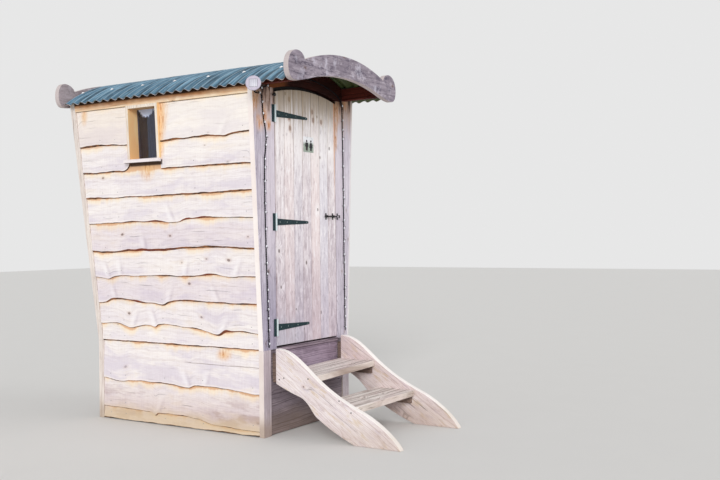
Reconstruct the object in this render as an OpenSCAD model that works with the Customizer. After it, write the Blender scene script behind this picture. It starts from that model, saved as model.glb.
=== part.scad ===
// Wooden outhouse in the style of a shepherd's hut, on a square base box.
// The body leans outwards above the floor, under a curved corrugated roof.
// Millimetres, +X to the right along the front, +Y to the back, +Z up.
// The origin is on the ground, in the middle of the front wall's framing.

/* [Body] */
// Width of the base box over its corner boards
base_w = 1018; // [940:2:1160]
// Length of the base box over its corner boards
base_l = 1518; // [1400:2:1800]
// Height of the floor above the ground
floor_z = 564; // [520:2:620]
// Lean of the side walls above the floor, in degrees
side_lean = 3.0; // [2:0.1:4]
// Lean of the rear wall above the floor, in degrees
rear_lean = 5.8; // [4:0.1:7]
// Thickness of the wall framing and its lining
frame_t = 70; // [60:1:80]
// Depth outside the framing that the cladding boards take
clad_t = 28; // [24:1:32]
// Thickness of the boards on the front
front_board_t = 38; // [34:1:42]
// Width of the lower front corner boards
low_corner_w = 80; // [60:1:100]
// Width of each leg of the rear corner boards
rear_corner_w = 45; // [38:1:55]
// Thickness of the floor deck
deck_t = 22; // [18:1:30]
// Height of the lower edge of the eave boards
eave_board_z = 2233; // [2233:1:2250]

/* [Doorway] */
// Width of the door leaf
door_w = 720; // [680:2:740]
// Height of the door's lower edge above the ground
door_z = 583; // [580:1:600]
// Height of the top of the door's arch above the ground
door_crown_z = 2308; // [2290:1:2320]
// Radius of the door's arched top
door_arch_r = 1462; // [1300:2:1800]
// Gap at each side of the door
door_gap = 6; // [6:0.5:8]
// Gap between the door and the header board
head_gap = 25; // [20:1:28]
// Thickness of the door's boards
door_t = 25; // [20:1:26]
// Thickness of the ledges and braces behind the door
ledge_t = 22; // [18:1:24]
// Height of each ledge
ledge_h = 95; // [80:1:110]
// Heights of the three hinges above the ground
hinge_z = [705, 1402, 2119];
// Distance from the door's middle line to the outer edge of a jamb board
jamb_edge = 453; // [446:1:460]
// How far the framing laps behind the door's edge
stop_lap = 6; // [5:1:12]

/* [Hinges and bolt] */
// Length of a hinge strap from the pin
strap_l = 372; // [320:2:390]
// Height of a strap at the pin
strap_h = 46; // [38:1:52]
// Height of a strap at its tip
strap_tip_h = 18; // [14:1:22]
// Height of a hinge plate
plate_h = 115; // [100:1:125]
// Width of a hinge plate from the pin
plate_w = 31; // [26:1:36]
// Thickness of the hinge metal
hinge_t = 3; // [2.5:0.1:4]
// Radius of a hinge pin
pin_r = 3.5; // [3:0.1:4]
// Outer radius of a hinge knuckle
knuckle_r = 6.5; // [6:0.1:7.5]
// Height of the bolt's rod above the ground
bolt_z = 1447; // [1300:1:1500]
// Radius of the bolt's rod
bolt_r = 5; // [4:0.5:6]
// Distance that the bolt slides
bolt_travel = 24; // [16:1:28]

/* [Window] */
// Distance of the window's middle from the front face
window_mid = 972; // [860:2:1040]
// Width of the window's clear opening
window_w = 256; // [220:2:300]
// Height of the clear opening's lower edge
window_z = 1857; // [1800:1:1900]
// Height of the clear opening
window_h = 354; // [300:1:356]
// Thickness of the window frame's boards
window_rail = 22; // [18:1:34]
// How far the frame stands out of the cladding
window_proud = 10; // [6:1:16]
// Thickness of the glass
glass_t = 4; // [3:0.5:6]

/* [Roof] */
// Height of the roof's crown at a wave's crest
crown_z = 2505; // [2495:1:2507]
// Radius of the roof's arc at a crest
roof_r = 1111; // [1105:1:1125]
// Distance from the roof's middle line to its left eave
left_eave = 660; // [650:1:680]
// Distance from the roof's middle line to its right eave
right_eave = 630; // [620:1:680]
// Distance between two crests of the corrugated sheet
wave_pitch = 76.2; // [70:0.1:80]
// Height of a wave
wave_depth = 18; // [16:0.5:20]
// Thickness of the sheet
sheet_t = 1.2; // [1:0.1:1.6]
// Distance from the front face to the front of the fascia
porch_l = 337; // [300:1:380]
// Thickness of the fascia boards
fascia_t = 38; // [30:1:42]
// Height of the front fascia's top edge at its middle
fascia_top_z = 2508; // [2508:1:2516]
// Height of the rear fascia's top edge at its middle
rear_fascia_top_z = 2497; // [2490:1:2508]
// Width of a purlin
purlin_w = 45; // [40:1:50]
// Distance from the roof's middle line to a side purlin
purlin_x = 477; // [470:1:479]

/* [Steps] */
// Distance between the two stringers
step_w = 734; // [700:2:740]
// Thickness of a stringer
stringer_t = 45; // [40:1:50]
// Height of the right stringer's top
stringer_h = 588; // [575:1:595]
// How far the left stringer sits below the right one
stringer_drop = 17; // [0:1:25]
// Length of a stringer along the ground
stringer_l = 940; // [900:2:1000]
// Heights of the tops of the lower and the upper tread, at the right stringer
tread_z = [235, 422];
// How far each tread's left end lies below its right end
tread_drop = [0, 17];
// Distances from the stringer's back to the front of each tread
tread_front = [604, 286];
// Depth of each tread
tread_d = 300; // [280:2:310]
// Thickness of a tread
tread_t = 40; // [35:1:45]

/* [Hidden] */
$fn = 96;

// Places of the main planes
front_y = -front_board_t - frame_t / 2;
board_back_y = front_y + front_board_t;
frame_back_y = board_back_y + frame_t;
base_rear_y = front_y + base_l;
wall_t = clad_t + frame_t;
deck_z = floor_z - deck_t;
sky_z = 2600;
roof_axis_z = crown_z - roof_r;
under_r = roof_r - wave_depth - sheet_t;
left_eave_angle = asin(left_eave / roof_r);
right_eave_angle = asin(right_eave / roof_r);
door_axis_z = door_crown_z - door_arch_r;
doorway_x = door_w / 2 + door_gap;
stop_x = door_w / 2 - stop_lap;
jamb_top_z = door_axis_z + sqrt(pow(door_arch_r + head_gap, 2) - pow(doorway_x, 2)) - 1;
hinge_x = -door_w / 2 - door_gap / 2;
hinge_y = front_y - knuckle_r;
fascia_front_y = front_y - porch_l;
fascia_back_y = fascia_front_y + fascia_t;
rear_fascia_y = rear_y(fascia_top_z) - 2;
sill_t = 22;
sill_top_z = door_z - 11;
step_back_y = front_y - 26;
stringer_x = step_w / 2;
cleat_t = 22;
cleat_h = 50;

// Half of the body's width, and the rear face, at a height
function half_w(z) = base_w / 2 + max(0, z - floor_z) * tan(side_lean);
function rear_y(z) = base_rear_y + max(0, z - floor_z) * tan(rear_lean);

// Points of a cubic curve
function curve(p, n) = [
    for (i = [0 : n])
        let (t = i / n, u = 1 - t)
            u * u * u * p[0] + 3 * u * u * t * p[1] + 3 * u * t * t * p[2] + t * t * t * p[3]
];
function mirrored(points) = [for (i = [len(points) - 1 : -1 : 0]) [-points[i][0], points[i][1]]];

// A profile drawn in X and Z, from one Y to another
module along_y(y0, y1)
    translate([0, y1, 0])
        rotate([90, 0, 0])
            linear_extrude(y1 - y0)
                children();

// A profile drawn in Y and Z, from one X to another
module along_x(x0, x1)
    translate([x0, 0, 0])
        rotate([90, 0, 90])
            linear_extrude(x1 - x0)
                children();

module block(low, high)
    translate(low)
        cube(high - low);

module both_sides() {
    children();
    mirror([1, 0, 0]) children();
}

// The space under the corrugated sheet, as a profile
module under_sheet()
    translate([0, roof_axis_z])
        circle(under_r, $fn = 180);

// A strip that follows the leaning left side, between two depths from its face
module side_strip(outer, inner, z0, z1)
    polygon([
        [-half_w(z0) + outer, z0],
        [-half_w(z0) + inner, z0],
        [-half_w(z1) + inner, z1],
        [-half_w(z1) + outer, z1],
    ]);

// The side view of the body from a front plane to a depth from the rear face
module side_view(y0, depth, z0, z1)
    polygon([
        [y0, z0],
        [rear_y(z0) - depth, z0],
        [rear_y(z1) - depth, z1],
        [y0, z1],
    ]);

// The front view of the body's box, a depth in from its sides
module front_view(depth, z0, z1)
    polygon([
        [-half_w(z0) + depth, z0],
        [half_w(z0) - depth, z0],
        [half_w(z1) - depth, z1],
        [-half_w(z1) + depth, z1],
    ]);

// The three purlins as bars, which the walls are notched round
module purlin_bars(y0, y1)
    along_y(y0, y1)
        intersection() {
            under_sheet();
            union() {
                translate([-purlin_w / 2, crown_z - 92])
                    square([purlin_w, 92]);
                for (side = [-1, 1])
                    translate([side * purlin_x - purlin_w / 2, 2296])
                        square([purlin_w, 120]);
            }
        }

module notched()
    difference() {
        children();
        purlin_bars(front_y - 10, rear_fascia_y + 20);
    }

module left_slab()
    intersection() {
        along_y(front_y, rear_y(sky_z))
            intersection() {
                side_strip(clad_t, wall_t, floor_z, sky_z);
                under_sheet();
            }
        along_x(-base_w, 0)
            side_view(frame_back_y, wall_t, floor_z, sky_z);
    }

window_y = front_y + window_mid;
window_low = [window_y - window_w / 2, window_z];
window_high = [window_y + window_w / 2, window_z + window_h];

// A rectangle in the side view, round the window's opening
module window_view(margin)
    translate(window_low - [margin, margin])
        square(window_high - window_low + 2 * [margin, margin]);

// Base box
module base_left_wall()
    color("burlywood")
        block([-half_w(0) + clad_t, frame_back_y, 0],
            [-half_w(0) + wall_t, base_rear_y - wall_t, deck_z]);

module base_right_wall()
    mirror([1, 0, 0])
        base_left_wall();

module base_rear_wall()
    color("burlywood")
        block([-half_w(0) + clad_t, base_rear_y - wall_t, 0],
            [half_w(0) - clad_t, base_rear_y - clad_t, deck_z]);

module base_front_wall()
    color("tan")
        block([-half_w(0) + clad_t, board_back_y, 0],
            [half_w(0) - clad_t, frame_back_y, deck_z]);

module lower_front_corner_boards()
    color("rosybrown")
        both_sides()
            block([-half_w(0), front_y, 0], [-half_w(0) + low_corner_w, board_back_y, floor_z]);

module lower_rear_corner_boards()
    color("wheat")
        both_sides()
            difference() {
                block([-half_w(0), base_rear_y - rear_corner_w, 0],
                    [-half_w(0) + rear_corner_w, base_rear_y, floor_z]);
                block([-half_w(0) + clad_t, base_rear_y - wall_t, -1],
                    [0, base_rear_y - clad_t, floor_z + 1]);
            }

module floor_deck()
    color("peru")
        block([-half_w(0) + clad_t, board_back_y, deck_z],
            [half_w(0) - clad_t, base_rear_y - clad_t, floor_z]);

module door_sill()
    color("dimgray")
        block([-doorway_x, front_y - 6, sill_top_z - sill_t], [doorway_x, board_back_y, sill_top_z]);

module riser_panel()
    color("dimgray")
        block([-stringer_x + 3, front_y + 5, tread_z[1] - tread_t],
            [stringer_x - 3, board_back_y, sill_top_z - sill_t]);

// Leaning walls
module left_wall()
    color("burlywood")
        difference() {
            left_slab();
            along_x(-base_w, 0)
                window_view(window_rail);
        }

module right_wall()
    color("burlywood")
        mirror([1, 0, 0])
            left_slab();

module rear_wall()
    color("burlywood")
        notched()
            intersection() {
                along_y(front_y, rear_y(sky_z))
                    intersection() {
                        front_view(clad_t, floor_z, sky_z);
                        under_sheet();
                    }
                along_x(-base_w, base_w)
                    difference() {
                        side_view(front_y, clad_t, floor_z, sky_z);
                        side_view(front_y, wall_t, floor_z, sky_z);
                    }
            }

module front_wall_left()
    color("tan")
        notched()
            along_y(board_back_y, frame_back_y)
                intersection() {
                    polygon([
                        [-half_w(floor_z) + clad_t, floor_z],
                        [-stop_x, floor_z],
                        [-stop_x, sky_z],
                        [-half_w(sky_z) + clad_t, sky_z],
                    ]);
                    under_sheet();
                }

module front_wall_right()
    mirror([1, 0, 0])
        front_wall_left();

module front_wall_head()
    color("tan")
        notched()
            along_y(board_back_y, frame_back_y)
                difference() {
                    intersection() {
                        translate([-stop_x, door_axis_z])
                            square([2 * stop_x, 2 * roof_r]);
                        under_sheet();
                    }
                    translate([0, door_axis_z])
                        circle(door_arch_r - 2 * stop_lap, $fn = 180);
                }

// Boards on the front
module front_corner_board_left()
    color("rosybrown")
        notched()
            along_y(front_y, board_back_y)
                intersection() {
                    polygon([
                        [-half_w(floor_z), floor_z],
                        [-jamb_edge, floor_z],
                        [-jamb_edge, sky_z],
                        [-half_w(sky_z), sky_z],
                    ]);
                    under_sheet();
                }

module front_corner_board_right()
    mirror([1, 0, 0])
        front_corner_board_left();

module door_jamb_left()
    color("thistle")
        block([-jamb_edge, front_y, floor_z], [-doorway_x, board_back_y, jamb_top_z]);

module door_jamb_right()
    mirror([1, 0, 0])
        door_jamb_left();

module header_board()
    color("thistle")
        notched()
            along_y(front_y, board_back_y)
                difference() {
                    intersection() {
                        translate([-jamb_edge, jamb_top_z])
                            square([2 * jamb_edge, 400]);
                        under_sheet();
                    }
                    intersection() {
                        translate([-doorway_x, door_axis_z])
                            square([2 * doorway_x, 2 * roof_r]);
                        translate([0, door_axis_z])
                            circle(door_arch_r + head_gap, $fn = 180);
                    }
                }

module rear_corner_boards()
    color("wheat")
        both_sides()
            difference() {
                intersection() {
                    along_y(front_y, rear_y(sky_z))
                        intersection() {
                            side_strip(0, rear_corner_w, floor_z, sky_z);
                            under_sheet();
                        }
                    along_x(-base_w, 0)
                        difference() {
                            side_view(front_y, 0, floor_z, sky_z);
                            side_view(front_y - 1, rear_corner_w, floor_z, sky_z);
                        }
                }
                intersection() {
                    along_y(front_y, rear_y(sky_z))
                        side_strip(clad_t, wall_t, floor_z, sky_z);
                    along_x(-base_w, 0)
                        side_view(front_y, clad_t, floor_z, sky_z);
                }
            }

module eave_boards()
    color("sandybrown")
        both_sides()
            intersection() {
                along_y(board_back_y, rear_y(sky_z))
                    intersection() {
                        side_strip(0, clad_t, eave_board_z, sky_z);
                        under_sheet();
                    }
                along_x(-base_w, 0)
                    side_view(board_back_y, rear_corner_w, eave_board_z, sky_z);
            }

// Window in the left wall
module window_pane()
    intersection() {
        along_y(front_y, base_rear_y)
            side_strip(wall_t - 12 - glass_t, wall_t - 12, floor_z, sky_z);
        along_x(-base_w, 0)
            window_view(5);
    }

module window_frame()
    color("wheat")
        difference() {
            intersection() {
                along_y(front_y, base_rear_y)
                    side_strip(-window_proud, wall_t, floor_z, sky_z);
                along_x(-base_w, 0)
                    difference() {
                        window_view(window_rail);
                        window_view(0);
                    }
            }
            window_pane();
        }

module window_sill()
    color("wheat")
        intersection() {
            along_y(window_low[0] - 38, window_high[0] + 38)
                side_strip(-window_proud - 28, -window_proud, window_z - 26, window_z - 2);
            along_x(-base_w, 0)
                translate([0, window_z - 26])
                    square([base_l, 24]);
        }

module window_glass()
    color("slategray")
        window_pane();

// Roof
module roof_purlins()
    color("saddlebrown")
        purlin_bars(fascia_back_y, rear_fascia_y);

// One corrugated sheet, between two places counted in eighths of a wave
rear_crest_y = base_rear_y + 148;
function sheet_y(k) = rear_crest_y - k * wave_pitch / 8;
function sheet_r(k) = roof_r - wave_depth / 2 * (1 - cos(45 * k));
module corrugated_sheet(k0, k1, lift)
    translate([0, 0, roof_axis_z])
        rotate([-90, 0, 0])
            rotate([0, 0, -90 - left_eave_angle])
                rotate_extrude(angle = left_eave_angle + right_eave_angle, $fn = 180)
                    polygon(concat(
                        [for (k = [k0 : k1]) [sheet_r(k) + lift, sheet_y(k)]],
                        [for (k = [k1 : -1 : k0]) [sheet_r(k) + lift - sheet_t, sheet_y(k)]]
                    ));

module roof_sheet_front()
    color("teal")
        corrugated_sheet(134, 206, 0);

module roof_sheet_middle()
    color("teal")
        corrugated_sheet(68, 140, sheet_t);

module roof_sheet_rear()
    color("teal")
        corrugated_sheet(-4, 74, 0);

// A fascia's outline: an arc with an upturned round knob at each end
fascia_low_r = 1636;
fascia_drop = 142;
fascia_low = [
    for (a = [14 : -1 : 0])
        [fascia_low_r * sin(a), -fascia_drop - fascia_low_r * (1 - cos(a))]
];
function fascia_top(r) = [for (a = [0 : 1.5 : 21]) [r * sin(a), -r * (1 - cos(a))]];
function fascia_side(top_r, knob) = concat(fascia_top(top_r), knob, fascia_low);
front_knob = concat(
    curve([[486, -91], [492, -62], [525, -41], [565, -41]], 8),
    curve([[565, -41], [625, -42], [664, -88], [664, -146]], 12),
    curve([[664, -146], [664, -198], [640, -231], [600, -231]], 12),
    curve([[600, -231], [550, -231], [510, -220], [460, -208]], 8)
);
rear_knob = concat(
    curve([[534, -103], [544, -76], [580, -55], [622, -55]], 8),
    curve([[622, -55], [662, -56], [685, -98], [685, -148]], 12),
    curve([[685, -148], [685, -196], [664, -229], [632, -229]], 12),
    curve([[632, -229], [580, -229], [530, -221], [470, -208]], 8)
);

module fascia(y0, top_z, side)
    color("rosybrown")
        along_y(y0, y0 + fascia_t)
            translate([0, top_z])
                polygon(concat(side, mirrored(side)));

front_top_r = 1343;
rear_top_r = 1420;

module front_fascia()
    fascia(fascia_front_y, fascia_top_z, fascia_side(front_top_r, front_knob));

module rear_fascia()
    fascia(rear_fascia_y, rear_fascia_top_z, fascia_side(rear_top_r, rear_knob));

// Steps
// A stringer's upper edge from the hut to its tip, lowered by a drop
function stringer_top(drop, tip) = concat(
    curve([[0, stringer_h - drop], [95, stringer_h - drop], [160, 535 - drop], [262, 452 - drop]], 12),
    curve([[262, 452 - drop], [360, 368 - drop], [480, 293 - drop], [660, 222 - drop]], 12),
    curve([[660, 222 - drop], [750, 184 - drop], [890, 90 - drop], [tip, 0]], 12)
);

// The lower edges differ, because each stringer was sawn by eye
left_stringer_foot = concat(
    curve([[600, 0], [500, 40], [400, 90], [318, 148]], 8),
    curve([[318, 148], [280, 175], [262, 240], [190, 270]], 10),
    curve([[190, 270], [160, 276], [80, 306], [0, 340]], 8)
);
right_stringer_foot = concat(
    curve([[600, 0], [430, 60], [300, 130], [211, 215]], 10),
    curve([[211, 215], [170, 262], [100, 325], [0, 345]], 10)
);

// A board sawn to an outline, with its left face at x
module stringer(x, outline)
    color("linen")
        along_x(x, x + stringer_t)
            translate([step_back_y, 0])
                mirror([1, 0])
                    polygon(outline);

module left_stringer()
    stringer(-stringer_x - stringer_t,
        concat(stringer_top(stringer_drop, stringer_l - 10), left_stringer_foot));

module right_stringer()
    stringer(stringer_x, concat(stringer_top(0, stringer_l), right_stringer_foot));

// A tread between the stringers, as a profile seen from the front
module tread(i)
    color("tan")
        along_y(step_back_y - tread_front[i], step_back_y - tread_front[i] + tread_d)
            polygon([
                [-stringer_x, tread_z[i] - tread_drop[i] - tread_t],
                [stringer_x, tread_z[i] - tread_t],
                [stringer_x, tread_z[i]],
                [-stringer_x, tread_z[i] - tread_drop[i]]
            ]);

module upper_tread()
    tread(1);

module lower_tread()
    tread(0);

// Height of a cleat's top, where it meets the underside of its tread
function cleat_top(i, left) = tread_z[i] - tread_t - tread_drop[i] * (left == 1 ? 1 : cleat_t / step_w);

// Cleats under the treads and packers behind the stringers
module step_cleats()
    color("tan") {
        for (i = [0, 1])
            for (left = [0, 1])
                mirror([left, 0, 0])
                    block([stringer_x - cleat_t, step_back_y - tread_front[i] + 20,
                            cleat_top(i, left) - cleat_h],
                        [stringer_x, step_back_y - tread_front[i] + tread_d - 20,
                            cleat_top(i, left)]);
        both_sides()
            block([-stringer_x - 38, step_back_y, 350],
                [-stringer_x - 8, board_back_y, deck_z - 4]);
    }

// Hinges
knuckle_h = strap_h + 1;
module knuckle(z0, z1)
    translate([hinge_x, hinge_y, z0])
        cylinder(r = knuckle_r, h = z1 - z0);

module hinge_pin(z0, z1, r)
    translate([hinge_x, hinge_y, z0])
        cylinder(r = r, h = z1 - z0);

module hinge_plates()
    color("darkslategray")
        for (z = hinge_z) {
            difference() {
                union() {
                    block([hinge_x - plate_w, front_y - hinge_t, z - plate_h / 2],
                        [hinge_x, front_y, z + plate_h / 2]);
                    knuckle(z - plate_h / 2, z + plate_h / 2);
                }
                block([hinge_x - knuckle_r - 1, hinge_y - 20, z - knuckle_h / 2],
                    [hinge_x + 20, front_y + 1, z + knuckle_h / 2]);
            }
            hinge_pin(z - plate_h / 2, z + plate_h / 2, pin_r);
        }

module strap(z)
    difference() {
        union() {
            along_y(front_y - hinge_t, front_y)
                polygon([
                    [hinge_x, z - strap_h / 2],
                    [hinge_x + strap_l - 10, z - strap_tip_h / 2],
                    [hinge_x + strap_l, z - strap_tip_h / 2 + 5],
                    [hinge_x + strap_l, z + strap_tip_h / 2 - 5],
                    [hinge_x + strap_l - 10, z + strap_tip_h / 2],
                    [hinge_x, z + strap_h / 2],
                ]);
            knuckle(z - strap_h / 2, z + strap_h / 2);
        }
        hinge_pin(z - strap_h, z + strap_h, pin_r + 0.3);
        block([hinge_x - 20, front_y - 0.01, z - strap_h], [hinge_x + 2, front_y + 10, z + strap_h]);
    }

module hinge_straps()
    color("darkslategray")
        for (z = hinge_z)
            strap(z);

// Door
module door_leaf()
    color("linen")
        along_y(front_y, front_y + door_t)
            intersection() {
                translate([-door_w / 2, door_z])
                    square([door_w, 2000]);
                translate([0, door_axis_z])
                    circle(door_arch_r, $fn = 180);
            }

ledge_x = door_w / 2 - 35;
module door_ledges()
    color("tan") {
        for (z = hinge_z)
            block([-ledge_x, front_y + door_t, z - ledge_h / 2],
                [ledge_x, front_y + door_t + ledge_t, z + ledge_h / 2]);
        for (i = [0, 1])
            along_y(front_y + door_t, front_y + door_t + ledge_t)
                polygon([
                    [-ledge_x, hinge_z[i] + ledge_h / 2],
                    [-ledge_x + 95, hinge_z[i] + ledge_h / 2],
                    [ledge_x, hinge_z[i + 1] - ledge_h / 2],
                    [ledge_x - 95, hinge_z[i + 1] - ledge_h / 2],
                ]);
    }

// Bolt on the door's right edge, drawn back
bolt_y = front_y - 12;
bolt_x = door_w / 2;
rod_tip = bolt_x - 4;
rod_end = bolt_x - 155;
handle_x = bolt_x - 110;
keeper_end = rod_tip + bolt_travel + 4;
saddle_x = [bolt_x - 138, bolt_x - 52];
saddle_w = 15;
saddle_half_h = 23;
saddle_t = 2.5;

// A saddle that holds the rod: a sleeve on a foot between two screwed flanges
module saddle(x0, bore_r)
    difference() {
        union() {
            block([x0, front_y - saddle_t, bolt_z - saddle_half_h],
                [x0 + saddle_w, front_y, bolt_z + saddle_half_h]);
            block([x0, bolt_y, bolt_z - bore_r - 3], [x0 + saddle_w, front_y, bolt_z + bore_r + 3]);
            translate([x0, bolt_y, bolt_z])
                rotate([0, 90, 0])
                    cylinder(r = bore_r + 3, h = saddle_w);
        }
        translate([x0 - 5, bolt_y, bolt_z])
            rotate([0, 90, 0])
                cylinder(r = bore_r, h = saddle_w + 10);
    }

module bolt_guides()
    color("black")
        for (x0 = saddle_x)
            saddle(x0, bolt_r + 0.5);

module bolt_rod()
    color("black") {
        translate([rod_end, bolt_y, bolt_z])
            rotate([0, 90, 0])
                cylinder(r = bolt_r, h = rod_tip - rod_end);
        translate([handle_x, bolt_y, bolt_z])
            rotate([90, 0, 0])
                cylinder(r = 3.5, h = 16);
        translate([handle_x, bolt_y - 19, bolt_z])
            sphere(r = 6);
    }

// The keeper is a staple of flat bar, which stands clear of the rod on all sides
keeper_gap = 2;
keeper_t = 3;
module bolt_keeper()
    color("black") {
        inner = bolt_r + keeper_gap;
        outer = inner + keeper_t;
        x0 = keeper_end - saddle_w;
        for (side = [0, 1])
            translate([0, 0, bolt_z])
                mirror([0, 0, side]) {
                    block([x0, bolt_y - outer, inner], [keeper_end, front_y, outer]);
                    block([x0, front_y - saddle_t, outer], [keeper_end, front_y, saddle_half_h]);
                }
        block([x0, bolt_y - outer, bolt_z - inner], [keeper_end, bolt_y - inner, bolt_z + inner]);
    }

// Solar panel, on an arm from a foot plate at the top of the left corner board
panel_r = 49;
panel_t = 16;
panel_at = [-700, front_y - 92, 2266];
panel_turn = 212;
panel_tilt = 12;
foot_low = [-593, front_y - 4, 2240];
foot_high = [-562, front_y, 2290];
arm_r = 5;
module panel_frame()
    translate(panel_at)
        rotate([0, 0, panel_turn])
            rotate([0, 90 - panel_tilt, 0])
                children();

module solar_panel()
    color("lavender") {
        panel_frame()
            rotate_extrude()
                polygon([
                    [0, -panel_t], [14, -panel_t], [18, -panel_t + 6], [panel_r - 4, -panel_t + 8],
                    [panel_r, -panel_t + 11], [panel_r, -1.5], [panel_r - 1.5, 0], [panel_r - 4, 0],
                    [panel_r - 5, -1], [0, -1],
                ]);
        hull() {
            panel_frame()
                translate([0, 0, -panel_t - 4])
                    cylinder(r = arm_r, h = 5, $fn = 32);
            translate([(foot_low[0] + foot_high[0]) / 2, foot_low[1], panel_at[2] - 1])
                rotate([90, 0, 0])
                    cylinder(r = arm_r, h = 3, $fn = 32);
        }
        block(foot_low, foot_high);
    }

// String of lights down both posts, as a swept tube
string_r = 3;
string_y = front_y - string_r;
string_left = [
    for (p = [
        [-577, 2236], [-570, 2231], [-548, 2229], [-522, 2236], [-508, 2226], [-502, 2200],
        [-497, 2171], [-494, 2126], [-488, 2081], [-476, 2037], [-465, 1992], [-460, 1945],
        [-466, 1885], [-478, 1825], [-482, 1740], [-482, 1543], [-476, 1300], [-470, 1100],
        [-462, 900], [-455, 697], [-453, 580],
    ])
        [p[0], string_y, p[1]]
];
string_right = [
    for (p = [
        [-562, 2262], [-540, 2262], [-510, 2267], [-475, 2279], [-445, 2289], [-415, 2306],
        [-380, 2330], [-310, 2352], [-220, 2374], [-120, 2390], [-40, 2396], [40, 2396],
        [120, 2390], [220, 2374], [310, 2352], [380, 2330], [415, 2306], [440, 2282],
        [449, 2256], [451, 2200], [454, 2000], [457, 1700], [457, 1460], [458, 1200],
        [460, 900], [462, 700], [463, 614],
    ])
        [p[0], string_y, p[1]]
];
function unit(v) = v / norm(v);
function heading(route, i) =
    unit(route[min(i + 1, len(route) - 1)] - route[max(i - 1, 0)]);
// Two directions across a route that runs in a plane facing the front
function across(h) = unit(cross(h, [0, 1, 0.001]));
function ring(route, i, sides, r) =
    let (h = heading(route, i), a = across(h), b = cross(h, a))
        [for (s = [0 : sides - 1]) route[i] + r * (cos(360 * s / sides) * a + sin(360 * s / sides) * b)];

module tube(route, sides, r) {
    n = len(route);
    points = [for (i = [0 : n - 1]) each ring(route, i, sides, r)];
    sleeves = [
        for (i = [0 : n - 2], s = [0 : sides - 1])
            let (t = (s + 1) % sides)
                [i * sides + s, i * sides + t, (i + 1) * sides + t, (i + 1) * sides + s]
    ];
    first = [for (s = [sides - 1 : -1 : 0]) s];
    last = [for (s = [0 : sides - 1]) (n - 1) * sides + s];
    polyhedron(points, concat([first], sleeves, [last]));
}

module light_string()
    color("darkgreen") {
        tube(string_left, 8, string_r);
        tube(string_right, 8, string_r);
    }

base_left_wall();
base_right_wall();
base_rear_wall();
base_front_wall();
lower_front_corner_boards();
lower_rear_corner_boards();
floor_deck();
door_sill();
riser_panel();
left_wall();
right_wall();
rear_wall();
front_wall_left();
front_wall_right();
front_wall_head();
front_corner_board_left();
front_corner_board_right();
door_jamb_left();
door_jamb_right();
header_board();
rear_corner_boards();
eave_boards();
window_frame();
window_sill();
window_glass();
roof_purlins();
roof_sheet_front();
roof_sheet_middle();
roof_sheet_rear();
front_fascia();
rear_fascia();
left_stringer();
right_stringer();
upper_tread();
lower_tread();
step_cleats();
hinge_plates();
bolt_keeper();
solar_panel();
light_string();
door_leaf();
door_ledges();
hinge_straps();
bolt_guides();
bolt_rod();
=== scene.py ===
# %% [markdown]
# A wooden outhouse in the style of a shepherd's hut. The construction comes as a fixed
# frame of separate parts at real size. This script adds what the eye needs: waney boards,
# weathered wood, painted corrugated sheet, ironwork, small fittings and a string of lights.
# Everything is in metres, +X to the right along the front, +Y to the back, +Z up.

# %% Load the frame
import math
import random

import bmesh
import bpy
from mathutils import Matrix, Vector, noise


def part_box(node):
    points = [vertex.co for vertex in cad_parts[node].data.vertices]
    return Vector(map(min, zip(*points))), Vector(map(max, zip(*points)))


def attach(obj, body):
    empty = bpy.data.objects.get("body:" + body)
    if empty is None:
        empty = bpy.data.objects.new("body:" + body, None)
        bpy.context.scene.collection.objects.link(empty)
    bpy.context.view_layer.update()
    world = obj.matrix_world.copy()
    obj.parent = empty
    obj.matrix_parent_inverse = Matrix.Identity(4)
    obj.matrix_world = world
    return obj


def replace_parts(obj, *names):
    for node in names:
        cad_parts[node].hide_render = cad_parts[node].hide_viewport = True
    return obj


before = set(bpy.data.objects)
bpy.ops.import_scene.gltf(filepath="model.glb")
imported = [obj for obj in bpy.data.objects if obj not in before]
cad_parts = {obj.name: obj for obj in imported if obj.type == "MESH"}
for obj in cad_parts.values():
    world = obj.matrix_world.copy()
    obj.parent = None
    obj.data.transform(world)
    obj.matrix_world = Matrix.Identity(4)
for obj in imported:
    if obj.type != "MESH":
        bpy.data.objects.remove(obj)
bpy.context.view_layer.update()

# %% [markdown]
# The camera stands where the photographer stood: crouching a little, off the front left
# corner, some five metres away. The place and the three angles were worked out from the
# hut's own straight edges. A camera's own X axis points right, its Y axis up and its Z axis
# backwards, so its rotation is a matrix with those three directions as columns.

# %% Camera
CAMERA_AT = Vector((-5.298, -3.795, 1.293))
YAW, PITCH, ROLL = (math.radians(a) for a in (-58.130, -0.149, -0.622))

forward = Vector((-math.sin(YAW) * math.cos(PITCH), math.cos(YAW) * math.cos(PITCH), math.sin(PITCH)))
level_right = Vector((math.cos(YAW), math.sin(YAW), 0))
level_up = level_right.cross(forward)
right = math.cos(ROLL) * level_right + math.sin(ROLL) * level_up
up = math.cos(ROLL) * level_up - math.sin(ROLL) * level_right

camera = bpy.data.objects.new("camera", bpy.data.cameras.new("camera"))
camera.data.lens = 46.65
camera.data.sensor_width = 36
camera.matrix_world = Matrix.Translation(CAMERA_AT) @ Matrix((right, up, -forward)).transposed().to_4x4()
bpy.context.scene.collection.objects.link(camera)
bpy.context.scene.camera = camera
print("camera looks along", [round(v, 3) for v in forward])

# %% [markdown]
# A finish is a material. Its maths is written as Python sums: a `Wire` is the output of a
# node, and a sum on wires adds the Math nodes that work it out, so `1 - mask * 0.3` reads
# as it would on paper. Every other node comes from `Graph.node`, which takes the node's
# type, then its settings, then what goes into its sockets. A colour is written as the three
# numbers from 0 to 255 that a screen shows, and `tint` and `stain` lay one over another.

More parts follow.
